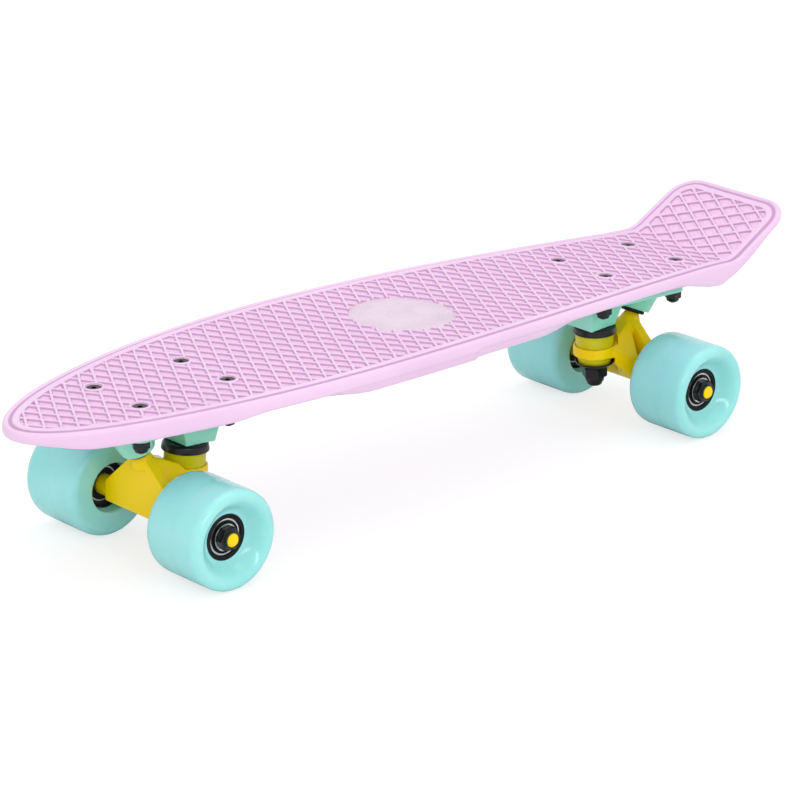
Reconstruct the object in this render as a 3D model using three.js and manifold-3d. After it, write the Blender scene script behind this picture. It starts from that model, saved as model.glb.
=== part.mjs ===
// A small plastic cruiser skateboard: a moulded deck with a kicktail, two trucks and four wheels.
// Millimetres. +X points to the nose, +Y to the board's left side, +Z up, and the floor is at z = 0.
import * as THREE from "three";
import { ConvexGeometry } from "three/addons/geometries/ConvexGeometry.js";
import { ParametricGeometry } from "three/addons/geometries/ParametricGeometry.js";
import { mergeVertices } from "three/addons/utils/BufferGeometryUtils.js";
import Module from "manifold-3d";

const wasm = await Module();
wasm.setup();

// Play left between pieces that touch or pass through each other, and how far a cut reaches past a face
const clearance = 0.3;
const overrun = 3;

// Deck outline, measured flat along the board from the middle of the wheelbase
const noseReach = 291.5;
const noseFullness = 40;
const noseRun = 115;
const deckWidth = 140;
const widestAt = 60;
const waistRun = 108;
const neckAt = 225;
const neckWidth = 96.4;
const neckRun = 84;
const neckSwell = 8.4;
const tailReach = 304;
const tailWidth = 94;
const tailCorner = 20;

// Deck side view: a shallow arch along, a shallow dish across, and a straight kicktail
const archDrop = 2.76;
const dishRise = 2.45;
const tailBendAt = 241;
const tailBendRadius = 22;
const tailAngle = THREE.MathUtils.degToRad(29.5);

// Deck walls: the top skin, the border round the waffle field, the rail, and the skirt between the trucks
const skin = 5;
const fieldDepth = 1.3;
const borderInset = 7.6;
const borderWidth = 1.2;
const grooveWidth = 1;
const grooveDepth = 1;
const rimRound = 3.2;
const railBulge = 0.6;
const railSlant = 2.6;
const railWall = 2.4;
const noseRail = 11.5;
const noseTipRail = 6.8;
const noseTaper = 34;
const frontWellRail = 9.3;
const rearWellRail = 7.8;
const bendRail = 14.5;
const bendRailAt = 231;
const tailRail = 7.4;
const tailRailAt = 252;
const tailEndRail = 4.8;
const skirtDrop = 5;
const skirtFront = 129;
const skirtFrontRamp = 46;
const skirtRear = 96;
const skirtRearRamp = 40;

// Waffle field: ridges in two families that lean to either side of straight across. The solid has
// every second ridge, and the bend of the tail stays plain.
const ridgeStart = 2.58;
const ridgePitch = 10.673;
const ridgesApart = 2;
const ridgeLean = THREE.MathUtils.degToRad(31);
const ridgeWidth = 1.8;
const ridgeSink = 0.15;
const fieldCover = 0.3;

// Deck details
const medallionDiameter = 64.4;
const medallionDrop = 1;
const boltRingDiameter = 13;
const boltHole = 5.5;
const padLength = 86;
const padWidth = 58;
const padCorner = 9;
const padDepth = 17.2;
const ribWidth = 3;
const ribDepth = 9;
const ribSpread = 30;
const ribLength = 236;
const crossRibSpacing = 47;
const crossRibInset = 15;

// Truck positions and the standard bolt rectangle
const wheelbase = 371;
const boltSpacingAlong = 63.5;
const boltSpacingAcross = 41.3;

// Mounting bolts and nuts
const boltShank = 4.8;
const boltHead = 9.2;
const boltHeadHeight = 2.6;
const boltHeadSink = 0.9;
const boltSocket = 2.2;
const boltSocketDepth = 1.4;
const boltTipBevel = 0.6;
const boltProud = 1;
const nutAcross = 9.4;
const nutHeight = 4.2;
const nutCollarDiameter = 8.6;
const nutCollarHeight = 2.2;

// Baseplate
const plateLength = 78;
const plateWidth = 54;
const plateCorner = 8;
const plateThickness = 3.4;
const bossInboard = 17;
const bossDrop = 22;
const bossReachIn = 13.5;
const bossReachOut = 8;
const bossWidth = 21;
const bossDraft = 3;
const bossDraftOut = 8;
const housingOutboard = 18;
const housingDrop = 18;
const housingDiameter = 20.5;
const housingDraft = 4;
const plateRibWidth = 12;
const plateRibDepth = 3;

// Kingpin, its nut, the bushings and their cup washers; lengths run down the kingpin from the boss
const kingpinLean = THREE.MathUtils.degToRad(5);
const kingpinDiameter = 9.5;
const kingpinHeadAcross = 14.2;
const kingpinHeadHeight = 6;
const kingpinHeadSeat = 8;
const kingpinProud = 2.8;
const kingpinTipBevel = 1;
const washerThickness = 1.5;
const boardsideWasherDiameter = 28;
const boardsideWasherDepth = 4.8;
const roadsideWasherDiameter = 25.4;
const roadsideWasherDepth = 4;
const roadsideWasherFoot = 17;
const washerWall = 1.3;
const bushingDiameter = 24.4;
const bushingChamfer = 1;
const boardsideBushingHeight = 12.9;
const roadsideBushingHeight = 7.8;
const roadsideBushingFoot = 21;
const kingpinNutAcross = 14.3;
const kingpinNutHeight = 6.4;
const kingpinCollarDiameter = 12.8;
const kingpinCollarHeight = 3.2;

// Hanger
const axleOutboard = 11.2;
const axleDrop = 53.3;
const ringDiameter = 27.4;
const ringLip = 1.9;
const ringWeb = 3;
const ringBore = 14.4;
const beamWidth = 64;
const beamFront = 6.3;
const beamBack = 7.2;
const beamBelow = 6;
const beamAbove = 6.6;
const faceTopWidth = 12.6;
const faceTop = 29.5;
const faceThickness = 7;
const yokeWidth = 25;
const yokeFootWidth = 44;
const yokeTopWidth = 8;
const stemDiameter = 7.4;
const stemFoot = 12.4;
const pivotBall = 8.8;
const pivotTilt = THREE.MathUtils.degToRad(20);
const shoulderDiameter = 12.4;
const stemSink = 3;
const swingRoom = 0.9;

// Pivot cup
const cupDiameter = 13.4;
const cupFlange = 15.2;
const cupFlangeThickness = 2;
const cupMouth = 11.6;
const cupWall = 1.8;
const cupBallDepth = 4;

// Axle, bearings and axle nuts
const axleDiameter = 8;
const axleLength = 150;
const axleTipBevel = 1;
const bearingDiameter = 22;
const bearingWidth = 7;
const bearingInnerRing = 12.2;
const bearingOuterRing = 19;
const bearingShieldSink = 0.5;
const speedWasherDiameter = 16;
const speedWasherThickness = 0.9;
const axleNutAcross = 12.7;
const axleNutHeight = 4;
const axleNutCollarDiameter = 11;
const axleNutCollarHeight = 1.8;

// Wheels
const wheelDiameter = 60;
const wheelWidth = 45;
const wheelSpread = 109;
const bearingSpacing = 11;
const coreBore = 14;
const hubLand = 1;
const hubWall = 2.4;
const dishDiameter = 40;
const lipRound = 3;
const lipInnerRound = 4.5;
const wellFlare = 1;
const wellBevel = 1;
const innerRound = 7;

// How finely round shapes are cut
const noseSteps = 16;
const flankSteps = 18;
const neckSteps = 2;
const bendSteps = 3;
const tailSideSteps = 2;
const tailCornerSteps = 5;
const wheelSteps = 26;
const roundSteps = 16;
const smallSteps = 12;
const arcSteps = 3;
const hexSides = 6;

// Worked-out places
const truckAt = wheelbase / 2;
const wheelRadius = wheelDiameter / 2;
const archShare = archDrop / (truckAt * truckAt);
const dishShare = dishRise / ((deckWidth / 2) * (deckWidth / 2));
const truckSlope = Math.atan(2 * archShare * truckAt);
const tailBendLength = tailBendRadius * (tailAngle + Math.atan(2 * archShare * tailBendAt));
const mountFaceDrop = padDepth + clearance;
const axleBelowFace = (mountFaceDrop + axleDrop) * Math.cos(truckSlope);
const axleBelowDeck = axleBelowFace + axleOutboard * Math.sin(truckSlope);
const deckTop = wheelRadius + axleBelowDeck + archDrop;
const alongUp = new THREE.Vector3(0, 0, 1);
const alongSide = new THREE.Vector3(0, 1, 0);

// Materials
const finish = (color, roughness, metalness = 0) =>
  new THREE.MeshStandardMaterial({ color, roughness, metalness });
const deckPlastic = finish("#e9c4ea", 0.35);
const mintPaint = finish("#8fdcc0", 0.3, 0.1);
const yellowPaint = finish("#f7d80a", 0.25, 0.1);
const limeUrethane = finish("#c3c400", 0.3);
const aquaUrethane = finish("#8fe3dc", 0.15);
const blackSteel = finish("#17161a", 0.35, 0.6);
const brightSteel = finish("#b9bcc0", 0.25, 0.9);
const blackNylon = finish("#1b1b1d", 0.5);

// Solid helpers: geometry in, solid out, and back again

function solidOf(geometry) {
  const bare = geometry.index ? geometry.toNonIndexed() : geometry.clone();
  bare.deleteAttribute("normal");
  bare.deleteAttribute("uv");
  const merged = mergeVertices(bare, 1e-4);
  return new wasm.Manifold(
    new wasm.Mesh({
      numProp: 3,
      vertProperties: merged.attributes.position.array,
      triVerts: new Uint32Array(merged.index.array),
    }),
  );
}

function joinOf(...solids) {
  return solids.reduce((whole, next) => whole.add(next));
}

function meshOf(name, solid, material) {
  const { numProp, vertProperties, triVerts } = solid.getMesh();
  const place = new Float32Array((vertProperties.length / numProp) * 3);
  for (let i = 0; i < place.length / 3; i++) {
    place.set(vertProperties.subarray(i * numProp, i * numProp + 3), i * 3);
  }
  const geometry = new THREE.BufferGeometry();
  geometry.setAttribute("position", new THREE.BufferAttribute(place, 3));
  geometry.setIndex(new THREE.BufferAttribute(triVerts, 1));
  const flat = geometry.toNonIndexed();
  flat.computeVertexNormals();
  const mesh = new THREE.Mesh(flat, material);
  mesh.name = name;
  return mesh;
}

// A turned solid: points are [radius, height], and the axis is +Z or, for wheels, +Y.
function turned(points, steps, axis = alongUp) {
  const geometry = new THREE.LatheGeometry(points.map(([r, h]) => new THREE.Vector2(r, h)), steps);
  if (axis === alongUp) geometry.rotateX(Math.PI / 2);
  const solid = solidOf(geometry);
  return solid.volume() < 0 ? solidOf(flipped(geometry)) : solid;
}

function flipped(geometry) {
  const turnedRound = geometry.clone();
  const index = turnedRound.index.array;
  for (let i = 0; i < index.length; i += 3) {
    [index[i + 1], index[i + 2]] = [index[i + 2], index[i + 1]];
  }
  return turnedRound;
}

// A flat tube or washer between two radii and two heights.
function sleeve(inner, outer, low, high, steps, axis = alongUp) {
  return turned([[inner, low], [outer, low], [outer, high], [inner, high], [inner, low]], steps, axis);
}

function rod(radius, low, high, steps, axis = alongUp) {
  return turned([[0, low], [radius, low], [radius, high], [0, high]], steps, axis);
}

// A prism of a closed outline in the XY plane, from one height to another.
function prism(shape, low, high, curveSegments = arcSteps) {
  const depth = high - low;
  const geometry = new THREE.ExtrudeGeometry(shape, { depth, bevelEnabled: false, curveSegments });
  geometry.translate(0, 0, low);
  return solidOf(geometry);
}

function hexShape(across) {
  const shape = new THREE.Shape();
  const corner = across / Math.sqrt(3);
  for (let i = 0; i < hexSides; i++) {
    const angle = (i * 2 * Math.PI) / hexSides;
    shape[i ? "lineTo" : "moveTo"](corner * Math.cos(angle), corner * Math.sin(angle));
  }
  return shape;
}

function roundedRectangle(length, width, corner) {
  const shape = new THREE.Shape();
  const x = length / 2 - corner;
  const y = width / 2 - corner;
  shape.absarc(x, y, corner, 0, Math.PI / 2);
  shape.absarc(-x, y, corner, Math.PI / 2, Math.PI);
  shape.absarc(-x, -y, corner, Math.PI, 1.5 * Math.PI);
  shape.absarc(x, -y, corner, 1.5 * Math.PI, 2 * Math.PI);
  return shape;
}

function hullOf(points) {
  return solidOf(new ConvexGeometry(points.map(([x, y, z]) => new THREE.Vector3(x, y, z))));
}

// Points of a circle in the XY plane at one height.
function circlePoints(radius, height, count) {
  return Array.from({ length: count }, (_, i) => {
    const angle = (i * 2 * Math.PI) / count;
    return [radius * Math.cos(angle), radius * Math.sin(angle), height];
  });
}

// Points of a rounded lip from one [radius, height] to another, the arc's centre given.
function arcPoints(centreR, centreH, radius, from, to, steps) {
  return Array.from({ length: steps + 1 }, (_, i) => {
    const angle = from + ((to - from) * i) / steps;
    return [centreR + radius * Math.cos(angle), centreH + radius * Math.sin(angle)];
  });
}

function placed(solid, x, y, z, tiltY = 0) {
  const matrix = new THREE.Matrix4().makeRotationY(tiltY).setPosition(x, y, z);
  return solid.transform(matrix.elements);
}

// Deck

// Half of the outline from the nose tip along the left side to the middle of the tail, as points and
// directions. Each stretch has its own number of steps, and the bend of the tail has stations of its own.
function outlineStations() {
  const side = deckWidth / 2;
  const neck = neckWidth / 2;
  const tail = tailWidth / 2;
  const point = (x, y) => new THREE.Vector2(x, y);
  const neckPoint = point(-neckAt, neck);
  const cornerStart = point(tailCorner - tailReach, tail);
  const tailRun = cornerStart.x - neckPoint.x;
  const onTailSide = (x) => neckPoint.clone().lerp(cornerStart, (x - neckPoint.x) / tailRun);
  const bendStart = onTailSide(-tailBendAt);
  const bendEnd = onTailSide(-tailBendAt - tailBendLength);
  const widest = point(widestAt, side);
  const tip = [point(noseReach, 0), point(noseReach, noseFullness)];
  const nose = [...tip, point(widestAt + noseRun, side), widest];
  const waist = point(widestAt - waistRun, side);
  const flank = [widest, waist, point(neckRun - neckAt, neck + neckSwell), neckPoint];
  const corner = new THREE.EllipseCurve(
    cornerStart.x, tail - tailCorner, tailCorner, tailCorner, Math.PI / 2, Math.PI,
  );
  const stretches = [
    [new THREE.CubicBezierCurve(...nose), noseSteps],
    [new THREE.CubicBezierCurve(...flank), flankSteps],
    [new THREE.LineCurve(neckPoint, bendStart), neckSteps],
    [new THREE.LineCurve(bendStart, bendEnd), bendSteps],
    [new THREE.LineCurve(bendEnd, cornerStart), tailSideSteps],
    [corner, tailCornerSteps],
    [new THREE.LineCurve(point(-tailReach, tail - tailCorner), point(-tailReach, 0)), 1],
  ];
  const stations = [];
  for (const [curve, steps] of stretches) {
    for (let i = stations.length ? 1 : 0; i <= steps; i++) {
      stations.push({ at: curve.getPoint(i / steps), along: curve.getTangent(i / steps) });
    }
  }
  return stations;
}

// The board's middle line seen from the side: height and slope at a flat place along the board.
function sideView(along) {
  if (along >= -tailBendAt) {
    const slope = Math.atan(-2 * archShare * along);
    return { x: along, z: deckTop - archShare * along * along, slope };
  }
  const start = sideView(-tailBendAt);
  const past = -tailBendAt - along;
  const turn = Math.min(past, tailBendLength) / tailBendRadius;
  const straight = Math.max(past - tailBendLength, 0);
  const slope = start.slope - turn;
  const centreX = start.x - tailBendRadius * Math.sin(start.slope);
  const centreZ = start.z + tailBendRadius * Math.cos(start.slope);
  return {
    x: centreX + tailBendRadius * Math.sin(slope) - straight * Math.cos(slope),
    z: centreZ - tailBendRadius * Math.cos(slope) - straight * Math.sin(slope),
    slope,
  };
}

// A point of the deck from its flat place and its height over the top face.
function onDeck(along, across, over, target = new THREE.Vector3()) {
  const { x, z, slope } = sideView(along);
  const lift = over + dishShare * across * across;
  return target.set(x - lift * Math.sin(slope), across, z + lift * Math.cos(slope));
}

const smoothStep = THREE.MathUtils.smoothstep;
const mix = THREE.MathUtils.lerp;

// How deep the rail's wall reaches below the top face at a flat place along the board.
function railDepth(along) {
  const tip = noseReach - noseTaper;
  if (along > tip) return mix(noseRail, noseTipRail, smoothStep(along, tip, noseReach));
  const padStart = truckAt - boltSpacingAlong / 2;
  if (along > 0) return mix(frontWellRail, noseRail, smoothStep(along, padStart, truckAt));
  const toBend = mix(rearWellRail, bendRail, smoothStep(-along, truckAt, bendRailAt));
  const toTail = mix(toBend, tailRail, smoothStep(-along, bendRailAt, tailRailAt));
  return mix(toTail, tailEndRail, smoothStep(-along, tailRailAt, tailReach - tailCorner));
}

// How much of the skirt there is between the wheels: one along its middle, nothing past its ends.
function skirtShare(along) {
  const front = smoothStep(skirtFront - along, 0, skirtFrontRamp);
  return front * smoothStep(along + skirtRear, 0, skirtRearRamp);
}

// The deck's section: how far in from the outline, and how high over the top face.
function deckSection(along) {
  const depth = railDepth(along);
  const foot = depth + skirtDrop * skirtShare(along);
  const border = borderInset - borderWidth;
  const groove = border - grooveWidth;
  return [
    [borderInset, -fieldDepth - fieldCover],
    [borderInset, 0],
    [border, 0],
    [border, -grooveDepth],
    [groove, -grooveDepth],
    [groove, 0],
    [rimRound, 0],
    [rimRound * (1 - Math.SQRT1_2), rimRound * (Math.SQRT1_2 - 1)],
    [0, -rimRound],
    [0, railBulge - depth],
    [railBulge, -depth],
    [railSlant, -foot],
    [railSlant + railWall, -foot],
    [railSlant + railWall + railBulge, -skin],
  ];
}

const fieldShares = [0, 1 / 2];

// A closed solid whose section, given by a place along the board, is carried round the outline.
function alongOutline(section) {
  const stations = outlineStations();
  const last = stations.length - 1;
  const rings = section(0).length;
  const stacks = rings - 1 + 2 * fieldShares.length;
  const spineNose = noseReach - tailCorner - borderInset;
  const spineTail = borderInset + tailCorner - tailReach;
  const surface = (u, v, target) => {
    const turn = Math.round(u * 2 * last);
    const side = turn > last ? -1 : 1;
    const { at, along } = stations[turn > last ? 2 * last - turn : turn];
    const step = Math.round(v * stacks);
    const top = Math.min(step / fieldShares.length, 1);
    const bottom = Math.min((stacks - step) / fieldShares.length, 1);
    const ring = THREE.MathUtils.clamp(step - fieldShares.length, 0, rings - 1);
    const [inset, over] = section(at.x)[ring];
    const rim = new THREE.Vector2(at.x - inset * along.y, turn % last ? at.y + inset * along.x : 0);
    const spine = new THREE.Vector2(THREE.MathUtils.clamp(rim.x, spineTail, spineNose), 0);
    const flat = spine.lerp(rim, Math.min(top, bottom));
    onDeck(flat.x, side * flat.y, over, target);
  };
  const geometry = new ParametricGeometry(surface, 2 * last, stacks);
  const solid = solidOf(geometry);
  return solid.volume() < 0 ? solidOf(flipped(geometry)) : solid;
}

const ridgeSpacing = ridgesApart * ridgePitch;
const ridgeShare = ridgeWidth / 2 / (ridgeSpacing * Math.cos(ridgeLean));

// The flat place where two ridges cross, one of each family, both counted from the board's middle.
// Numbers with a fraction are places between ridges.
function ridgeCrossing(one, other) {
  return {
    along: ridgeStart + (ridgeSpacing * (one + other)) / 2,
    across: (ridgeSpacing * (other - one)) / 2 / Math.tan(ridgeLean),
  };
}

// Whether the cell after two ridges belongs to the field: inside the border and not on the tail's bend.
function isCell(one, other) {
  const { along, across } = ridgeCrossing(one + 1 / 2, other + 1 / 2);
  const half = ridgeSpacing / 2;
  const onField = along > -tailReach && along < noseReach && Math.abs(across) < deckWidth / 2 + half;
  const onBend = along < half - tailBendAt && along > -tailBendAt - tailBendLength - half;
  return onField && !onBend;
}

// The corners of a cell, or of the pocket that a margin leaves inside it.
function cellCorners(one, other, margin, over) {
  const shares = [[margin, margin], [1 - margin, margin], [1 - margin, 1 - margin], [margin, 1 - margin]];
  return shares.map(([i, j]) => {
    const { along, across } = ridgeCrossing(one + i, other + j);
    return onDeck(along, across, over);
  });
}

// The waffle: a closed sheet of cells with a pocket in each, laid on the deck and trimmed to the field.
function waffle() {
  const places = [];
  const quad = (...corners) => [0, 1, 2, 0, 2, 3].forEach((i) => places.push(...corners[i].toArray()));
  const most = Math.ceil((2 * tailReach) / ridgeSpacing);
  const counts = Array.from({ length: 2 * most }, (_, i) => i - most);
  const neighbours = [[0, -1], [1, 0], [0, 1], [-1, 0]];
  for (const one of counts) {
    for (const other of counts.filter((count) => isCell(one, count))) {
      const crest = cellCorners(one, other, 0, -ridgeSink);
      const edge = cellCorners(one, other, ridgeShare, -ridgeSink);
      const floor = cellCorners(one, other, ridgeShare, -fieldDepth);
      const foot = cellCorners(one, other, 0, -fieldDepth - 2 * fieldCover);
      neighbours.forEach(([i, j], side) => {
        const next = (side + 1) % neighbours.length;
        quad(crest[side], crest[next], edge[next], edge[side]);
        quad(edge[side], edge[next], floor[next], floor[side]);
        if (!isCell(one + i, other + j)) quad(foot[side], foot[next], crest[next], crest[side]);
      });
      quad(...floor);
      quad(...foot.reverse());
    }
  }
  const geometry = new THREE.BufferGeometry();
  geometry.setAttribute("position", new THREE.Float32BufferAttribute(places, 3));
  const edge = borderInset - borderWidth / 2;
  const room = alongOutline(() => [[edge, overrun], [edge, -skin / 2]]);
  const inDisc = medallionDiameter / 2 - fieldCover;
  const medallionRoom = rod(inDisc, deckTop - skin, deckTop + overrun, wheelSteps);
  return solidOf(geometry).intersect(room).subtract(medallionRoom);
}

// The round badge place: a smooth disc a little below the waffle's ridges, with a raised edge.
function medallion() {
  return rod(medallionDiameter / 2, deckTop - skin / 2, deckTop - medallionDrop, wheelSteps);
}

function boltPlaces() {
  const x = boltSpacingAlong / 2;
  const y = boltSpacingAcross / 2;
  return [[x, y], [x, -y], [-x, y], [-x, -y]];
}

// The moulded pad under the deck that a truck bolts to, in the truck's own frame.
function truckPad() {
  const pad = prism(roundedRectangle(padLength, padWidth, padCorner), clearance, mountFaceDrop - skin / 2);
  const low = mountFaceDrop - skin;
  const ringAt = (x, y) => placed(rod(boltRingDiameter / 2, low, boltRingTop(x, y), roundSteps), x, y, 0);
  return joinOf(pad, ...boltPlaces().map(([x, y]) => ringAt(x, y)));
}

// The height of the deck's top face at a bolt, over the truck's mounting face.
function boltRingTop(x, y) {
  return mountFaceDrop - archShare * x * x + dishShare * y * y;
}

// The hole for one mounting bolt, with its countersink.
function boltHoleCut(x, y) {
  const top = boltRingTop(x, y);
  const head = boltHead / 2 + clearance;
  const hole = boltHole / 2;
  const seat = top - boltHeadSink;
  const points = [
    [0, -overrun],
    [hole, -overrun],
    [hole, seat - boltHeadHeight],
    [head, seat],
    [head, top + overrun],
    [0, top + overrun],
  ];
  return placed(turned(points, smallSteps), x, y, 0);
}

// Where a truck's frame sits: its origin is the middle of the baseplate's top, +X outboard.
function truckFrame(isFront) {
  const mount = sideView(truckAt);
  const matrix = new THREE.Matrix4().makeRotationY(truckSlope);
  const drop = new THREE.Vector3(0, 0, -mountFaceDrop).applyMatrix4(matrix);
  matrix.setPosition(truckAt + drop.x, 0, mount.z + drop.z);
  return isFront ? matrix : new THREE.Matrix4().makeRotationZ(Math.PI).multiply(matrix);
}

// Ribs under the deck between the trucks: two long ones and short ones across.
function deckRibs() {
  const long = new THREE.Shape();
  const half = ribLength / 2;
  const low = deckTop - ribDepth;
  const high = deckTop - skin / 2 - archShare * half * half;
  long.moveTo(-half, high);
  long.lineTo(-half + ribDepth, low);
  long.lineTo(half - ribDepth, low);
  long.lineTo(half, high);
  const rib = new THREE.ExtrudeGeometry(long, { depth: ribWidth, bevelEnabled: false });
  rib.rotateX(Math.PI / 2);
  const sides = [-1, 1].map((side) => placed(solidOf(rib), 0, (side * ribSpread + ribWidth) / 2, 0));
  const crossHigh = deckTop - skin / 2 - archShare * crossRibSpacing * crossRibSpacing;
  const cross = new THREE.BoxGeometry(ribWidth, deckWidth - 2 * crossRibInset, crossHigh - low);
  const middle = (crossHigh + low) / 2;
  const crosses = [-1, 0, 1].map((i) => placed(solidOf(cross), i * crossRibSpacing, 0, middle));
  return joinOf(...sides, ...crosses);
}

function deck() {
  let solid = joinOf(alongOutline(deckSection), waffle(), medallion(), deckRibs());
  for (const isFront of [true, false]) {
    const place = truckFrame(isFront).elements;
    solid = solid.add(truckPad().transform(place));
    for (const [x, y] of boltPlaces()) solid = solid.subtract(boltHoleCut(x, y).transform(place));
  }
  return meshOf("deck", solid, deckPlastic);
}

// Fasteners

// A countersunk bolt whose hole through the deck starts at the given height.
function mountBolt(top) {
  const shank = boltShank / 2;
  const end = -plateThickness - clearance - nutHeight - nutCollarHeight - boltProud;
  const headTop = top - boltHeadSink;
  const socketFloor = headTop - boltSocketDepth;
  const points = [
    [0, end],
    [shank - boltTipBevel, end],
    [shank, end + boltTipBevel],
    [shank, headTop - boltHeadHeight],
    [boltHead / 2, headTop],
    [boltSocket, headTop],
    [boltSocket / 2, socketFloor],
    [0, socketFloor],
  ];
  return turned(points, smallSteps);
}

// A hexagon lock nut with a round collar below it, hanging from z = 0.
function lockNut(across, height, collarDiameter, collarHeight, bolt) {
  const bore = bolt / 2 + clearance;
  const shape = hexShape(across);
  shape.holes.push(new THREE.Path().absarc(0, 0, bore, 0, 2 * Math.PI, true));
  const hex = prism(shape, -height, 0, smallSteps / 2);
  const cut = rod(bore, -height - collarHeight - overrun, overrun, smallSteps);
  const collar = rod(collarDiameter / 2, -height - collarHeight, -height / 2, smallSteps);
  return hex.add(collar).subtract(cut);
}

// Baseplate, in the truck's frame

// The pivot axis leaves the housing's mouth here, and leans outboard as it goes up.
const pivotMouth = new THREE.Vector3(housingOutboard, 0, -housingDrop);
const pivotUp = new THREE.Vector3(Math.sin(pivotTilt), 0, Math.cos(pivotTilt));
const pivotBallCentre = pivotMouth.clone().addScaledVector(pivotUp, cupBallDepth);
const cupDepth = cupBallDepth + pivotBall / 2 + clearance + cupWall;

// The kingpin leaves the boss here, and leans outboard as it goes down.
const kingpinSeat = new THREE.Vector3(-bossInboard, 0, -bossDrop);
const kingpinDown = new THREE.Vector3(Math.sin(kingpinLean), 0, -Math.cos(kingpinLean));

function onKingpin(solid) {
  return placed(solid, kingpinSeat.x, 0, kingpinSeat.z, -kingpinLean);
}

function onPivot(solid) {
  return placed(solid, pivotMouth.x, 0, pivotMouth.z, pivotTilt);
}

function baseplate() {
  const plate = prism(roundedRectangle(plateLength, plateWidth, plateCorner), -plateThickness, 0);
  const bossRise = bossDrop - plateThickness / 2;
  const boxed = (low, high, side, z) => [low, high].flatMap((x) => [[x, -side, z], [x, side, z]]);
  const bossFoot = boxed(-bossReachIn, bossReachOut, bossWidth / 2, 0);
  const headLow = -bossReachIn - bossDraft;
  const bossHead = boxed(headLow, bossReachOut + bossDraftOut, bossWidth / 2 + bossDraft, bossRise);
  const boss = onKingpin(hullOf([...bossFoot, ...bossHead]));
  const housingRise = (housingDrop - plateThickness / 2) / Math.cos(pivotTilt);
  const housing = onPivot(
    hullOf([
      ...circlePoints(housingDiameter / 2, 0, smallSteps),
      ...circlePoints(housingDiameter / 2 + housingDraft, housingRise, smallSteps),
    ]),
  );
  const ribDrop = plateThickness + plateRibDepth;
  const rib = new THREE.BoxGeometry(housingOutboard + bossInboard, plateRibWidth, ribDrop);
  rib.translate((housingOutboard - bossInboard) / 2, 0, -ribDrop / 2);
  let solid = joinOf(plate, boss, housing, solidOf(rib)).trimByPlane([0, 0, -1], 0);
  const hole = rod(boltHole / 2, -plateThickness - overrun, overrun, smallSteps);
  for (const [x, y] of boltPlaces()) solid = solid.subtract(placed(hole, x, y, 0));
  const pin = rod(kingpinDiameter / 2 + clearance, -overrun, bossDrop + overrun, roundSteps);
  const pocketHex = hexShape(kingpinHeadAcross + 2 * clearance);
  const pocket = prism(pocketHex, kingpinHeadSeat, bossDrop + 2 * overrun);
  const cupBore = rod(cupDiameter / 2 + clearance, -overrun, cupDepth + clearance, roundSteps);
  return solid.subtract(onKingpin(pin)).subtract(onKingpin(pocket)).subtract(onPivot(cupBore));
}

function pivotCup() {
  const outer = cupDiameter / 2;
  const flange = cupFlange / 2;
  const ball = pivotBall / 2 + clearance;
  const flangeLow = -clearance - cupFlangeThickness;
  const points = [
    [0, cupDepth],
    [outer, cupDepth],
    [outer, -clearance],
    [flange, -clearance],
    [flange, flangeLow],
    [cupMouth / 2, flangeLow],
    [ball, cupBallDepth],
    ...arcPoints(0, cupBallDepth, ball, 0, Math.PI / 2, arcSteps).slice(1),
  ];
  return onPivot(turned(points, smallSteps));
}

// Kingpin stack: each height is counted down from the boss along the kingpin

const washerTop = clearance;
const boardsideBushingTop = washerTop + washerThickness + clearance;
const ringSeatTop = boardsideBushingTop + boardsideBushingHeight + clearance;
const ringSeatLow = ringSeatTop + ringWeb;
const roadsideBushingTop = ringSeatLow + clearance;
const roadsideWasherTop = roadsideBushingTop + roadsideBushingHeight + clearance;
const kingpinNutTop = roadsideWasherTop + washerThickness + clearance;
const kingpinEnd = kingpinNutTop + kingpinNutHeight + kingpinCollarHeight + kingpinProud;

function kingpin() {
  const radius = kingpinDiameter / 2;
  const headFoot = kingpinHeadSeat + clearance;
  const head = prism(hexShape(kingpinHeadAcross), headFoot, headFoot + kingpinHeadHeight);
  const shank = turned(
    [
      [0, -kingpinEnd],
      [radius - kingpinTipBevel, -kingpinEnd],
      [radius, kingpinTipBevel - kingpinEnd],
      [radius, kingpinHeadSeat + kingpinHeadHeight / 2],
      [0, kingpinHeadSeat + kingpinHeadHeight / 2],
    ],
    roundSteps,
  );
  return onKingpin(head.add(shank));
}

function kingpinNut() {
  const collar = [kingpinCollarDiameter, kingpinCollarHeight];
  const nut = lockNut(kingpinNutAcross, kingpinNutHeight, ...collar, kingpinDiameter);
  return onKingpin(nut.translate([0, 0, -kingpinNutTop]));
}

// The upper cup washer opens downwards round the bushing.
function boardsideWasher() {
  const bore = kingpinDiameter / 2 + clearance;
  const outer = boardsideWasherDiameter / 2;
  const inner = outer - washerWall;
  const rim = -washerTop - boardsideWasherDepth;
  const under = -washerTop - washerThickness;
  const shape = [
    [bore, under],
    [bore, -washerTop],
    [outer - washerWall, -washerTop],
    [outer, -washerTop - washerWall],
    [outer, rim],
    [inner, rim],
    [inner, under],
    [bore, under],
  ];
  return onKingpin(turned(shape, roundSteps));
}

// The lower cup washer is a shallow bowl that opens upwards round the bushing's narrow end.
function roadsideWasher() {
  const bore = kingpinDiameter / 2 + clearance;
  const outer = roadsideWasherDiameter / 2;
  const foot = roadsideWasherFoot / 2;
  const low = -roadsideWasherTop - washerThickness;
  const high = low + roadsideWasherDepth;
  const shape = [
    [bore, low],
    [foot, low],
    [outer, high - washerWall],
    [outer, high],
    [outer - washerWall, high],
    [roadsideBushingFoot / 2 + clearance, -roadsideWasherTop],
    [bore, -roadsideWasherTop],
    [bore, low],
  ];
  return onKingpin(turned(shape, roundSteps));
}

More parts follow.
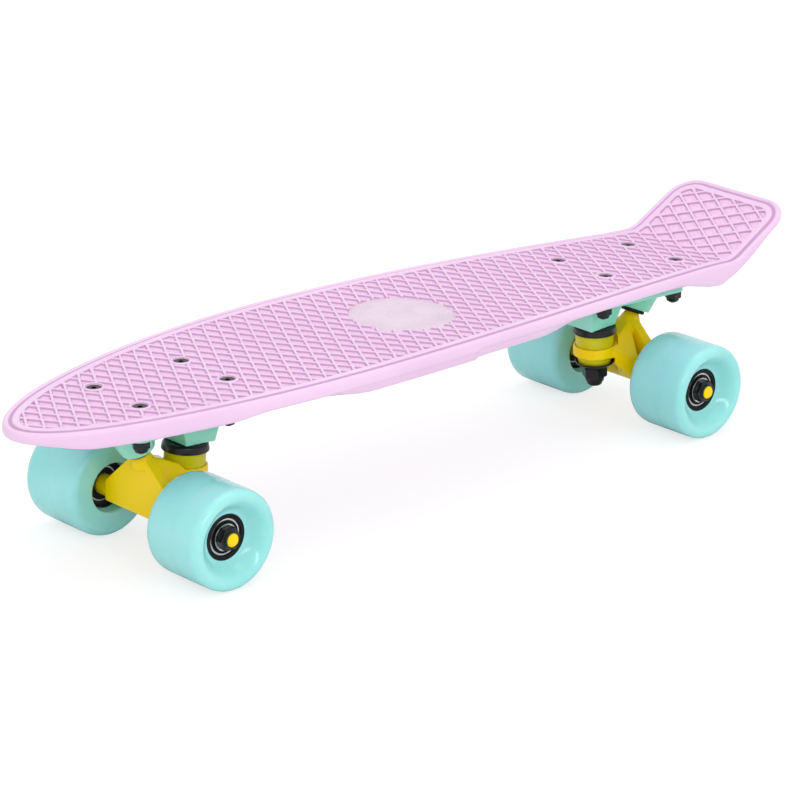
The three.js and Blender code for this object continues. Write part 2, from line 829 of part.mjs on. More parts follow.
function boardsideBushing() {
  const bore = kingpinDiameter / 2 + clearance;
  const outer = bushingDiameter / 2;
  const high = -boardsideBushingTop;
  const low = high - boardsideBushingHeight;
  const shape = [
    [bore, low],
    [outer - bushingChamfer, low],
    [outer, low + bushingChamfer],
    [outer, high - bushingChamfer],
    [outer - bushingChamfer, high],
    [bore, high],
    [bore, low],
  ];
  return onKingpin(turned(shape, roundSteps));
}

function roadsideBushing() {
  const bore = kingpinDiameter / 2 + clearance;
  const high = -roadsideBushingTop;
  const low = high - roadsideBushingHeight;
  const shape = [
    [bore, low],
    [roadsideBushingFoot / 2 - bushingChamfer, low],
    [roadsideBushingFoot / 2, low + bushingChamfer],
    [bushingDiameter / 2 - bushingChamfer, high - ringLip],
    [bushingDiameter / 2 - bushingChamfer, high],
    [bore, high],
    [bore, low],
  ];
  return onKingpin(turned(shape, roundSteps));
}

// Hanger, in the truck's frame

const axlePlace = new THREE.Vector3(axleOutboard, 0, -axleDrop);
const ringMiddle = (ringSeatTop + ringSeatLow) / 2;
const ringCentre = kingpinSeat.clone().addScaledVector(kingpinDown, ringMiddle);
const bearingReach = bearingSpacing / 2 + bearingWidth;
const shoulderEnd = wheelSpread / 2 - bearingReach - clearance;

// The outboard face: low and broad over the axle, with sloping shoulders up to the pivot stem.
function faceShape() {
  const shape = new THREE.Shape();
  shape.moveTo(-beamWidth / 2, -beamBelow);
  shape.lineTo(beamWidth / 2, -beamBelow);
  shape.lineTo(beamWidth / 2, beamAbove);
  shape.lineTo(faceTopWidth / 2, faceTop);
  shape.lineTo(-faceTopWidth / 2, faceTop);
  shape.lineTo(-beamWidth / 2, beamAbove);
  return shape;
}

// Puts a solid drawn flat (X across the board, Y up, Z outboard) on the axle.
function onAxleFace(solid) {
  const matrix = new THREE.Matrix4().makeBasis(alongSide, alongUp, new THREE.Vector3(1, 0, 0));
  return solid.transform(matrix.setPosition(axlePlace).elements);
}

function hanger() {
  const face = onAxleFace(prism(faceShape(), beamFront - faceThickness, beamFront));
  const beam = new THREE.BoxGeometry(beamFront + beamBack, beamWidth, beamAbove + beamBelow);
  beam.translate((beamFront - beamBack) / 2, 0, (beamAbove - beamBelow) / 2);
  const bar = placed(solidOf(beam), axlePlace.x, 0, axlePlace.z);
  const ringHigh = -ringSeatTop + ringLip;
  const ringLow = -ringSeatLow - ringLip;
  const ring = onKingpin(rod(ringDiameter / 2, ringLow, ringHigh, roundSteps));

  // The yoke runs from the ring to the beam's foot and up to the pivot stem.
  const ringBack = ringCentre.x - axlePlace.x;
  const ringUp = ringCentre.z - axlePlace.z;
  const halfRing = (ringWeb + 2 * ringLip) / 2;
  const back = beamFront - faceThickness;
  const yokePoints = [-1, 1].flatMap((side) => [
    [ringBack, (side * yokeWidth) / 2, ringUp - halfRing],
    [ringBack, (side * yokeWidth) / 2, ringUp + halfRing],
    [-beamBack, (side * yokeFootWidth) / 2, -beamBelow],
    [-beamBack, (side * yokeFootWidth) / 2, beamAbove],
    [0, (side * yokeTopWidth) / 2, faceTop],
    [back, (side * yokeTopWidth) / 2, faceTop],
  ]);
  const yoke = placed(hullOf(yokePoints), axlePlace.x, 0, axlePlace.z);

  const stemLength = axleDrop - faceTop - housingDrop;
  const ballStart = -Math.acos(stemDiameter / pivotBall);
  const stemPoints = [
    [0, -stemLength - stemSink],
    [stemFoot / 2, -stemLength - stemSink],
    [stemFoot / 2, -stemLength],
    [stemDiameter / 2, -clearance - cupFlangeThickness],
    ...arcPoints(0, cupBallDepth, pivotBall / 2, ballStart, Math.PI / 2, arcSteps + 1),
  ];
  const stem = onPivot(turned(stemPoints, roundSteps));
  const shoulder = rod(shoulderDiameter / 2, -shoulderEnd, shoulderEnd, roundSteps, alongSide);

  const bushingRoom = bushingDiameter / 2 + clearance;
  const washerReach = boardsideWasherDiameter / 2 + swingRoom;
  const seats = [
    rod(bushingRoom, -ringSeatTop, 0, roundSteps),
    rod(washerReach, ringHigh, overrun, roundSteps),
    rod(bushingRoom, -kingpinEnd, -ringSeatLow, roundSteps),
    rod(washerReach, -kingpinEnd, ringLow, roundSteps),
    rod(ringBore / 2, -kingpinEnd, 0, roundSteps),
  ].map(onKingpin);
  const bore = rod(axleDiameter / 2 + clearance, -axleLength, axleLength, roundSteps, alongSide);
  let solid = joinOf(face, bar, ring, yoke, stem, placed(shoulder, axlePlace.x, 0, axlePlace.z));
  for (const seat of seats) solid = solid.subtract(seat);
  return solid.subtract(placed(bore, axlePlace.x, 0, axlePlace.z));
}

// Axle and wheel, drawn round the axle with +Y to the left

function axle() {
  const end = axleLength / 2;
  const radius = axleDiameter / 2;
  const bevelled = radius - axleTipBevel;
  const points = [
    [0, -end],
    [bevelled, -end],
    [radius, axleTipBevel - end],
    [radius, end - axleTipBevel],
    [bevelled, end],
    [0, end],
  ];
  return turned(points, roundSteps, alongSide);
}

// The wheel's bore and bearing seat, from the middle of the wheel out to the hub's rim.
function hubPoints() {
  const seat = bearingDiameter / 2 + clearance;
  const hub = bearingReach + hubLand;
  return [
    [coreBore / 2, bearingSpacing / 2],
    [seat, bearingSpacing / 2],
    [seat, hub],
    [seat + hubWall, hub],
  ];
}

// The side that shows has a round dish, and the truck's side is flat round a deep well.
function wheel() {
  const face = wheelWidth / 2;
  const dish = dishDiameter / 2;
  const hub = hubPoints();
  const well = hub.at(-1)[0] + wellFlare;
  const lipInner = [dish + lipInnerRound, face - lipInnerRound, lipInnerRound];
  const shown = [
    ...hub,
    ...arcPoints(...lipInner, Math.PI, Math.PI / 2, arcSteps - 1),
    ...arcPoints(wheelRadius - lipRound, face - lipRound, lipRound, Math.PI / 2, 0, arcSteps),
  ];
  const inner = [
    ...hub,
    [well, face - wellBevel],
    [well + wellBevel, face],
    ...arcPoints(wheelRadius - innerRound, face - innerRound, innerRound, Math.PI / 2, 0, arcSteps),
  ];
  const other = inner.map(([r, h]) => [r, -h]).reverse();
  return turned([...shown, ...other, shown[0]], wheelSteps, alongSide);
}

// A ball bearing as one ring, with its shield sunk into the face that shows.
function bearing() {
  const half = bearingWidth / 2;
  const bore = axleDiameter / 2 + clearance;
  const outer = bearingDiameter / 2;
  const sink = half - bearingShieldSink;
  const points = [
    [bore, -half],
    [outer, -half],
    [outer, half],
    [bearingOuterRing / 2, half],
    [bearingOuterRing / 2, sink],
    [bearingInnerRing / 2, sink],
    [bearingInnerRing / 2, half],
    [bore, half],
    [bore, -half],
  ];
  return turned(points, smallSteps, alongSide);
}

// Assembly

function truckNodes(end) {
  const group = new THREE.Group();
  const add = (name, solid, material) => group.add(meshOf(end + "_" + name, solid, material));
  add("baseplate", baseplate(), mintPaint);
  add("pivot_cup", pivotCup(), blackNylon);
  add("kingpin", kingpin(), blackSteel);
  add("kingpin_nut", kingpinNut(), blackSteel);
  add("boardside_washer", boardsideWasher(), blackSteel);
  add("boardside_bushing", boardsideBushing(), limeUrethane);
  add("roadside_bushing", roadsideBushing(), limeUrethane);
  add("roadside_washer", roadsideWasher(), blackSteel);
  add("hanger", hanger(), yellowPaint);
  const nut = lockNut(nutAcross, nutHeight, nutCollarDiameter, nutCollarHeight, boltShank);
  boltPlaces().forEach(([x, y], i) => {
    add("mount_bolt_" + (i + 1), mountBolt(boltRingTop(x, y)).translate([x, y, 0]), blackSteel);
    add("mount_nut_" + (i + 1), nut.translate([x, y, -plateThickness - clearance]), blackSteel);
  });
  group.add(wheelNodes(end));
  group.applyMatrix4(truckFrame(end === "front"));
  return group;
}

function wheelNodes(end) {
  const group = new THREE.Group();
  const add = (name, solid, material, y) => {
    const mesh = meshOf(end + "_" + name, solid, material);
    mesh.position.y = y;
    group.add(mesh);
  };
  const washerAt = bearingReach + clearance;
  const nutAt = washerAt + speedWasherThickness + clearance;
  const bore = axleDiameter / 2 + clearance;
  const speedWasher = sleeve(bore, speedWasherDiameter / 2, 0, speedWasherThickness, roundSteps, alongSide);
  const collar = [axleNutCollarDiameter, axleNutCollarHeight];
  const nut = lockNut(axleNutAcross, axleNutHeight, ...collar, axleDiameter);
  add("axle", axle(), yellowPaint, 0);
  const left = end === "front" ? 1 : -1;
  for (const [name, side] of [["left", left], ["right", -left]]) {
    const middle = (side * wheelSpread) / 2;
    const turnedTo = [side * 90, 0, 0];
    const roller = side > 0 ? wheel() : wheel().rotate([180, 0, 0]);
    add(name + "_wheel", roller, aquaUrethane, middle);
    const openToLeft = bearing();
    const openToRight = openToLeft.rotate([180, 0, 0]);
    const reach = (side * (bearingSpacing + bearingWidth)) / 2;
    add(name + "_outer_bearing", side > 0 ? openToLeft : openToRight, brightSteel, middle + reach);
    add(name + "_inner_bearing", side > 0 ? openToRight : openToLeft, brightSteel, middle - reach);
    const washer = side > 0 ? speedWasher : speedWasher.rotate([180, 0, 0]);
    add(name + "_speed_washer", washer, brightSteel, middle + side * washerAt);
    add(name + "_axle_nut", nut.rotate(turnedTo), blackSteel, middle + side * nutAt);
  }
  group.position.copy(axlePlace);
  return group;
}

const skateboard = new THREE.Group();
skateboard.add(deck());
skateboard.add(truckNodes("front"));
skateboard.add(truckNodes("rear"));

// The origin is on the floor, below the middle of the board's length.
const extent = new THREE.Box3().setFromObject(skateboard, true);
skateboard.position.x = -(extent.min.x + extent.max.x) / 2;

export default skateboard;
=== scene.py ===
import math

import bmesh
import bpy
from mathutils import Matrix, Vector
from mathutils.kdtree import KDTree


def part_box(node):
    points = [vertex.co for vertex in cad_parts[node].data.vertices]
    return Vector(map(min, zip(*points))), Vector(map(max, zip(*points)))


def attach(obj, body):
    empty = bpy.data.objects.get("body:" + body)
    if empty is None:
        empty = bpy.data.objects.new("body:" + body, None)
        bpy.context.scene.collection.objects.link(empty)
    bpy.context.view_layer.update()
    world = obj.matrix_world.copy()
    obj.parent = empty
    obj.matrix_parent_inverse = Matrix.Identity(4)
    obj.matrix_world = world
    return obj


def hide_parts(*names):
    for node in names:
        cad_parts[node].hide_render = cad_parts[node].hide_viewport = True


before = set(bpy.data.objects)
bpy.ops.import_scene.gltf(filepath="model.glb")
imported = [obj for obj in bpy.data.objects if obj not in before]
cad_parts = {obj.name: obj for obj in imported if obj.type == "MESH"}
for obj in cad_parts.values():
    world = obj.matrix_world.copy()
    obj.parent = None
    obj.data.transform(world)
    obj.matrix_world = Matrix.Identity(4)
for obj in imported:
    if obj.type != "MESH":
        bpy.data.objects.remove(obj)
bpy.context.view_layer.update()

# A small plastic cruiser skateboard. Shapes are drawn in millimetres from the middle of the wheelbase,
# with +X to the nose, +Y to the board's left side and +Z up, and go into the frame in metres.
MM = 0.001

# Deck outline, measured flat along the board
NOSE_REACH = 291.5
NOSE_FULLNESS = 40
NOSE_RUN = 115
DECK_WIDTH = 140
WIDEST_AT = 60
WAIST_RUN = 108
NECK_AT = 225
NECK_WIDTH = 96.4
NECK_RUN = 84
NECK_SWELL = 8.4
TAIL_REACH = 304
TAIL_WIDTH = 94
TAIL_CORNER = 20
ROUND_SHARE = 0.5523

# Deck side view
ARCH_DROP = 2.76
DISH_RISE = 1.26
RAIL_DISH = 2.45
TAIL_BEND_AT = 241
TAIL_BEND_RADIUS = 22
TAIL_ANGLE = math.radians(29.5)

# Deck walls
SKIN = 5
NOSE_RAIL = 11.5
NOSE_TIP_RAIL = 6.8
NOSE_TAPER = 34
FRONT_WELL_RAIL = 9.3
REAR_WELL_RAIL = 7.8
BEND_RAIL = 14.5
BEND_RAIL_AT = 231
TAIL_RAIL = 7.4
TAIL_RAIL_AT = 252
TAIL_END_RAIL = 4.8
SKIRT_DROP = 5
SKIRT_FRONT = 129
SKIRT_FRONT_RAMP = 46
SKIRT_REAR = 96
SKIRT_REAR_RAMP = 40

# The grid that lets the flat underside follow the deck's bend
UNDER_GRID = 12
UNDER_REACH = 300
UNDER_SPREAD = 60

# Waffle field: ridges in two slanting families, with sunk cells between them
RIDGE_START = 2.58
RIDGE_PITCH = 10.673
RIDGE_LEAN = math.radians(31)
RIDGE_COUNT = 42
# The insets of a cell's wall from its ridge down to its floor, each with its width and its rise
CELL_STEPS = [(0.16, 0), (0.16, -0.01), (0.14, -0.02), (0.12, -0.04), (0.12, -0.14), (0.14, -0.26),
              (0.16, -0.32), (0.16, -0.32), (0.14, -0.22), (0.12, -0.1), (0.14, -0.04), (0.14, -0.01)]
SMALLEST_CELL = 2
CORNER_CELL = 1.15
SHORTEST_SIDE = 0.8
CELL_DEPTH = 1.4
# Painted shade in the cells and the groove: the depth below the ridges past which it stops, and the insets
# from the rim over which it comes in.
DEEPEST_PAINTED_SHADE = 1.7
PAINTED_SHADE_INSET = (3.2, 4)

# Deck details
OVERRUN = 3
HAIRLINE = 0.02
MEDALLION = 64.4
MEDALLION_DROP = 1.15
MEDALLION_SEAT = 2.4
MEDALLION_RINGS = (8.6, 22.6, 25.2, 30.6)
RING_LINE = 0.4
RING_LINE_DEPTH = 0.2
BEAD_COUNT = 42
BEAD_RING = 27.9
BEAD_SIZE = (1.1, 0.8, 0.35)
BOLT_RING = 13
BOLT_RING_SEAT = 4.6
BOLT_WELL = 9
BOLT_HOLE = 5.5
PAD_LENGTH = 86
PAD_WIDTH = 58
PAD_CORNER = 9
PAD_DEPTH = 17.2
PAD_ROOT = 3
PAD_DRAFT = 1.5
PAD_EDGE = 1
RIB_WIDTH = 3
RIB_DEPTH = 9
RIB_ROOT = 1
RIB_EDGE = 0.7
RIB_END_RUN = 6
RIB_SPREAD = 30
RIB_LENGTH = 236
CROSS_RIB_SPACING = 47
CROSS_RIB_INSET = 15
BEND_STEPS = 10

# Truck places, the standard bolt rectangle, and the play between pieces that touch
WHEELBASE = 371
BOLT_ALONG = 63.5
BOLT_ACROSS = 41.3
CLEARANCE = 0.3
WHEEL_SPREAD = 109

# Mounting bolts and nuts
BOLT_SHANK = 4.8
BOLT_PITCH = 0.8
BOLT_HEAD = 9.2
BOLT_HEAD_HEIGHT = 2.6
BOLT_HEAD_SINK = 0.9
BOLT_SOCKET = 2.9
BOLT_SOCKET_DEPTH = 1.5
BOLT_PROUD = 1
MOUNT_NUT = 9.4
MOUNT_NUT_HEIGHT = 4.2
MOUNT_COLLAR = 8.6
MOUNT_COLLAR_HEIGHT = 2.2
HEX_CHAMFER = 1
NUT_PLAY = 0.1

# Baseplate, with the boss that seats the kingpin and the housing of the pivot cup
PLATE_LENGTH = 78
PLATE_WIDTH = 54
PLATE_CORNER = 8
PLATE_THICKNESS = 3.4
PLATE_DRAFT = 0.6
PLATE_RIB = ((-17, -6, -7), (18, 6, -1))
BOSS_SEAT = Vector((-17, 0, -22))
BOSS_FOOT = [(x, y) for x in (-13.5, 8) for y in (-10.5, 10.5)]
BOSS_ROOT = [(x, y) for x in (-16.5, 16) for y in (-13.5, 13.5)]
PIVOT_MOUTH = Vector((18, 0, -18))
PIVOT_TILT = math.radians(20)
HOUSING = 20.5
HOUSING_ROOT = 28.5
CUP = 13.4
CUP_DEPTH = 10.5
CUP_FLANGE = 15.2
CUP_FLANGE_THICKNESS = 2
CUP_MOUTH = 11.6

# Kingpin, bushings and cup washers, whose heights run down the kingpin from the boss
KINGPIN = 9.5
KINGPIN_LEAN = math.radians(5)
KINGPIN_PITCH = 1.25
KINGPIN_THREAD = 16.2
KINGPIN_PROUD = 2.8
KINGPIN_HEAD = 14.2
KINGPIN_HEAD_HEIGHT = 6
KINGPIN_HEAD_SEAT = 8
WASHER_WALL = 1.5
BOARDSIDE_WASHER = 28
BOARDSIDE_WASHER_DEPTH = 4.8
ROADSIDE_WASHER = 25.4
BUSHING = 24.4
BOARDSIDE_BUSHING_HEIGHT = 12.9
ROADSIDE_BUSHING_HEIGHT = 7.8
ROADSIDE_BUSHING = 22.4
KINGPIN_NUT = 14.3
KINGPIN_NUT_HEIGHT = 6.4
KINGPIN_COLLAR = 12.8
KINGPIN_COLLAR_HEIGHT = 3.2

# Hanger
AXLE_PLACE = Vector((11.2, 0, -53.3))
RING = 27.4
RING_WEB = 3
RING_LIP = 1.9
RING_BORE = 14.4
RING_ROOM = 29.8
BEAM_WIDTH = 64
BEAM_FRONT = 6.3
BEAM_BACK = 7.2
BEAM_BELOW = 6
BEAM_ABOVE = 6.6
FACE_TOP = 29.5
FACE_TOP_WIDTH = 12.6
FACE_BACK = 0.7
YOKE_WIDTH = 25
YOKE_FOOT_WIDTH = 44
YOKE_TOP_WIDTH = 8
SHOULDER = 12.4
SHOULDER_REACH = 41.7
STEM_SINK = 5

# Axle, bearings and wheels
AXLE = 8
AXLE_REACH = 75
AXLE_THREAD = 15
BEARING = 22
BEARING_WIDTH = 7
BEARING_BORE = 8.2
BEARING_REACH = 9
OUTER_RACE_WALL = 1.3
INNER_RACE_WALL = 2
SPEED_WASHER = 16
SPEED_WASHER_THICKNESS = 0.9
SPEED_WASHER_AT = 12.8
AXLE_NUT = 12.7
AXLE_NUT_HEIGHT = 4
AXLE_NUT_AT = 14
AXLE_COLLAR = 11
AXLE_COLLAR_HEIGHT = 1.8

# Outlines of a wheel from its hub out to its tread, as radius and height from its middle: the side that
# shows has a dish, and the truck's side a flat face round a deep well.
SHOWN_SIDE = [(11.3, 0), (11.3, 13.2), (14.6, 13.3), (15.6, 13.6), (17, 14.6), (18.4, 16.2), (19.8, 18),
              (21.2, 19.8), (22.6, 21.2), (24, 22.1), (25.4, 22.5), (26.6, 22.42), (27.8, 21.9),
              (28.9, 20.9), (29.6, 19.6), (29.9, 18.2), (29.95, 16), (30, 8), (30, 0.6), (29.93, 0)]
INNER_SIDE = [(11.3, 13.2), (13.6, 13.3), (14, 13.8), (14.7, 21.2), (15.1, 22.1), (16, 22.5), (19, 22.55),
              (24.6, 22.5), (25.8, 22.35), (26.8, 22), (27.8, 21.4), (28.6, 20.6), (29.2, 19.6),
              (29.65, 18.3), (29.9, 17), (30, 15.4), (30, 0.6)]
CORE_SHOWN_SIDE = [(11.05, 5.5), (11.05, 13.2, 0.3), (11.6, 13.8, 0.3), (12.15, 13.8), (12.4, 13.45),
                   (12.65, 13.8), (13.3, 13.8, 0.5), (13.9, 13.1, 0.4), (13.9, 5.5)]
CORE_INNER_SIDE = [(11.05, 5.5), (11.05, 13.8, 0.3), (12.6, 13.8, 0.3), (13.1, 15.6, 0.3), (13.9, 15.6, 0.3),
                   (13.9, 5.5)]

# How finely round shapes are cut
TURN_STEPS = 96
SMALL_STEPS = 48
VOXEL = 0.5

# Edges that turn more than this stay sharp
SHARP = math.radians(34)
DECK_SHARP = math.radians(50)
CAST_SHARP = math.radians(48)
WHEEL_SHARP = math.radians(60)


# Where the board is in the frame

front_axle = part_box("front_axle")
rear_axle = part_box("rear_axle")
shift = sum(corner.x for corner in (*front_axle, *rear_axle)) / 4
axle_height = (front_axle[0].z + front_axle[1].z) / 2
IN_FRAME = Matrix.Translation((shift, 0, 0)) @ Matrix.Scale(MM, 4)

TRUCK_AT = WHEELBASE / 2
ARCH = ARCH_DROP / TRUCK_AT**2
DISH = DISH_RISE / (DECK_WIDTH / 2) ** 2
TRUCK_SLOPE = math.atan(2 * ARCH * TRUCK_AT)
TAIL_BEND_LENGTH = TAIL_BEND_RADIUS * (TAIL_ANGLE + math.atan(2 * ARCH * TAIL_BEND_AT))
MOUNT_DROP = PAD_DEPTH + CLEARANCE
AXLE_BELOW = (MOUNT_DROP - AXLE_PLACE.z) * math.cos(TRUCK_SLOPE) + AXLE_PLACE.x * math.sin(TRUCK_SLOPE)
DECK_TOP = axle_height / MM + AXLE_BELOW + ARCH_DROP


def mix(a, b, share):
    return a + (b - a) * share


def smooth_step(at, low, high):
    share = min(max((at - low) / (high - low), 0), 1)
    return share * share * (3 - 2 * share)


# Height and slope of the board's middle line at a flat place along it.
def side_view(along):
    if along >= -TAIL_BEND_AT:
        return along, DECK_TOP - ARCH * along * along, math.atan(-2 * ARCH * along)
    x, z, slope = side_view(-TAIL_BEND_AT)
    past = -TAIL_BEND_AT - along
    straight = max(past - TAIL_BEND_LENGTH, 0)
    centre = Vector((x - TAIL_BEND_RADIUS * math.sin(slope), z + TAIL_BEND_RADIUS * math.cos(slope)))
    slope -= min(past, TAIL_BEND_LENGTH) / TAIL_BEND_RADIUS
    x = centre.x + TAIL_BEND_RADIUS * math.sin(slope) - straight * math.cos(slope)
    z = centre.y - TAIL_BEND_RADIUS * math.cos(slope) - straight * math.sin(slope)
    return x, z, slope


# A point given flat, with its height over the top face, laid on the curved deck.
def on_deck(flat):
    x, z, slope = side_view(flat.x)
    lift = flat.z + DISH * flat.y * flat.y
    return Vector((x - lift * math.sin(slope), flat.y, z + lift * math.cos(slope)))


def truck_frame(end):
    x, z, _ = side_view(TRUCK_AT)
    turn = Matrix.Rotation(-TRUCK_SLOPE, 4, "Y").inverted()
    place = Matrix.Translation((x, 0, z)) @ turn @ Matrix.Translation((0, 0, -MOUNT_DROP))
    return place if end == "front" else Matrix.Rotation(math.pi, 4, "Z") @ place


ON_KINGPIN = Matrix.Translation(BOSS_SEAT) @ Matrix.Rotation(-KINGPIN_LEAN, 4, "Y")
ON_PIVOT = Matrix.Translation(PIVOT_MOUTH) @ Matrix.Rotation(PIVOT_TILT, 4, "Y")
ALONG_AXLE = Matrix.Rotation(-math.pi / 2, 4, "X")


# Top and foot of each piece down the kingpin, with the play above it.
def stacked(*heights):
    places, top = [], 0
    for height in heights:
        top -= CLEARANCE
        places.append((top, top - height))
        top -= height
    return places


KINGPIN_BORE = KINGPIN + 2 * CLEARANCE
UPPER_WASHER_AT, UPPER_BUSHING_AT, WEB_AT, LOWER_BUSHING_AT, LOWER_WASHER_AT, NUT_AT = stacked(
    WASHER_WALL, BOARDSIDE_BUSHING_HEIGHT, RING_WEB, ROADSIDE_BUSHING_HEIGHT, WASHER_WALL,
    KINGPIN_NUT_HEIGHT + KINGPIN_COLLAR_HEIGHT,
)


# Mesh helpers

def moved(bm, *matrices):
    whole = Matrix.Identity(4)
    for matrix in matrices:
        whole = whole @ matrix
    bmesh.ops.transform(bm, matrix=whole, verts=bm.verts)
    return bm


def joined(*parts):
    whole = bmesh.new()
    for part in parts:
        mesh = bpy.data.meshes.new("part")
        part.to_mesh(mesh)
        part.free()
        whole.from_mesh(mesh)
        bpy.data.meshes.remove(mesh)
    return whole


# A profile of (radius, height) or (radius, height, rounding) corners with the rounding drawn in.
def softened(corners, closed=False, steps=4):
    points = [Vector(c[:2]) for c in corners]
    count = len(points)
    result = []
    for i, corner in enumerate(corners):
        ends = not closed and i in (0, count - 1)
        if len(corner) < 3 or ends:
            result.append(points[i])
            continue
        before, here, after = points[i - 1], points[i], points[(i + 1) % count]
        reach = min(corner[2], (before - here).length / 2, (after - here).length / 2)
        start = here + (before - here).normalized() * reach
        end = here + (after - here).normalized() * reach
        for step in range(steps + 1):
            share = step / steps
            result.append(start.lerp(here, share).lerp(here.lerp(end, share), share))
    return result


# A turned piece round +Z from a profile. A closed profile makes a ring.
def turned(corners, steps=TURN_STEPS, closed=False):
    points = softened(corners, closed)
    bm = bmesh.new()
    verts = [bm.verts.new((p[0], 0, p[1])) for p in points]
    pairs = list(zip(verts, verts[1:]))
    if closed:
        pairs.append((verts[-1], verts[0]))
    edges = [bm.edges.new(pair) for pair in pairs]
    bmesh.ops.spin(
        bm, geom=verts + edges, cent=(0, 0, 0), axis=(0, 0, 1), angle=math.tau, steps=steps, use_merge=True
    )
    bmesh.ops.remove_doubles(bm, verts=bm.verts, dist=1e-4)
    bmesh.ops.recalc_face_normals(bm, faces=bm.faces)
    return bm


# A plain round rod or drill on +Z between two heights.
def rod(diameter, low, high, steps=SMALL_STEPS):
    return turned([(0, low), (diameter / 2, low), (diameter / 2, high), (0, high)], steps)


# A prism of a closed outline of (x, y) points between two heights, its top drawn in by an inset.
def prism(outline, low, high, inset=0):
    bm = bmesh.new()
    ring = bmesh.ops.create_circle(bm, cap_ends=True, segments=len(outline), radius=1)["verts"]
    for vert, (x, y) in zip(ring, outline):
        vert.co = (x, y, low)
    made = bmesh.ops.extrude_face_region(bm, geom=bm.faces[:])["geom"]
    top = [g for g in made if isinstance(g, bmesh.types.BMVert)]
    bmesh.ops.translate(bm, vec=(0, 0, high - low), verts=top)
    if inset:
        reach = max(v.co.xy.length for v in top)
        share = 1 - inset / reach
        bmesh.ops.scale(bm, vec=(share, share, 1), verts=top)
    bmesh.ops.recalc_face_normals(bm, faces=bm.faces)
    return bm


def rounded_rectangle(length, width, corner, steps=6):
    points = []
    for quarter, (sx, sy) in enumerate([(1, 1), (-1, 1), (-1, -1), (1, -1)]):
        for step in range(steps + 1):
            angle = (quarter + step / steps) * math.pi / 2
            x = sx * (length / 2 - corner) + corner * math.cos(angle)
            y = sy * (width / 2 - corner) + corner * math.sin(angle)
            points.append((x, y))
    return points


def hexagon(across):
    reach = across / math.sqrt(3)
    return [(reach * math.cos(i * math.tau / 6), reach * math.sin(i * math.tau / 6)) for i in range(6)]


def hull(points):
    bm = bmesh.new()
    for point in points:
        bm.verts.new(point)
    made = bmesh.ops.convex_hull(bm, input=bm.verts)
    spare = {g for g in made["geom_interior"] + made["geom_unused"] if isinstance(g, bmesh.types.BMVert)}
    bmesh.ops.delete(bm, geom=list(spare), context="VERTS")
    bmesh.ops.recalc_face_normals(bm, faces=bm.faces)
    return bm


def block(low, high, edge=0):
    bm = bmesh.new()
    bmesh.ops.create_cube(bm, size=1)
    low, high = Vector(low), Vector(high)
    bmesh.ops.scale(bm, vec=high - low, verts=bm.verts)
    bmesh.ops.translate(bm, vec=(low + high) / 2, verts=bm.verts)
    return bevelled(bm, edge) if edge else bm


def bevelled(bm, offset, segments=2, edges=None):
    bmesh.ops.bevel(
        bm, geom=edges or bm.edges[:], offset=offset, segments=segments, profile=0.5,
        affect="EDGES", material=-1, clamp_overlap=True,
    )
    return bm


def work_object(bm):
    mesh = bpy.data.meshes.new("work")
    bm.to_mesh(mesh)
    bm.free()
    made = bpy.data.objects.new("work", mesh)
    bpy.context.scene.collection.objects.link(made)
    return made


# The mesh of a work object with its modifiers done, after which the object goes.
def finished(*works):
    bm = bmesh.new()
    bm.from_object(works[0], bpy.context.evaluated_depsgraph_get())
    for work in works:
        mesh = work.data
        bpy.data.objects.remove(work)
        bpy.data.meshes.remove(mesh)
    return bm


def combined(bm, tool, operation="DIFFERENCE"):
    body, other = work_object(bm), work_object(tool)
    modifier = body.modifiers.new("combine", "BOOLEAN")
    modifier.object = other
    modifier.operation = operation
    modifier.solver = "EXACT"
    return finished(body, other)


# Closed shells that overlap, as one casting with soft edges.
def cast(*shells, soft=6):
    body = work_object(joined(*shells))
    skin = body.modifiers.new("skin", "REMESH")
    skin.mode = "VOXEL"
    skin.voxel_size = VOXEL
    ease = body.modifiers.new("ease", "SMOOTH")
    ease.factor = 0.5
    ease.iterations = soft
    return finished(body)


# A finished piece of the visual model, which rides on a body in place of its CAD nodes.
def show(name, bm, look, body, nodes, place, sharp=SHARP):
    bmesh.ops.transform(bm, matrix=IN_FRAME @ place, verts=bm.verts)
    for face in bm.faces:
        face.smooth = True
    mesh = bpy.data.meshes.new(name)
    bm.to_mesh(mesh)
    bm.free()
    mesh.set_sharp_from_angle(angle=sharp)
    mesh.materials.clear()
    mesh.materials.append(look.material)
    made = bpy.data.objects.new(name, mesh)
    bpy.context.scene.collection.objects.link(made)
    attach(made, body)
    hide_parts(*nodes)
    return made


# Looks

def plain_light(code):
    """A colour written as on screen, as the numbers that the shader takes."""
    parts = [int(code[i:i + 2], 16) / 255 for i in (1, 3, 5)]
    return tuple(p / 12.92 if p <= 0.04045 else ((p + 0.055) / 1.055) ** 2.4 for p in parts) + (1,)


class Value:
    """A shader socket that can be added and multiplied."""

    def __init__(self, look, socket):
        self.look = look
        self.socket = socket

    def done(self, operation, first, second):
        return self.look.node("Math", {"operation": operation}, {0: first, 1: second})

    def __add__(self, other):
        return self.done("ADD", self, other)

    def __radd__(self, other):
        return self.done("ADD", other, self)

    def __mul__(self, other):
        return self.done("MULTIPLY", self, other)

    def __rmul__(self, other):
        return self.done("MULTIPLY", other, self)


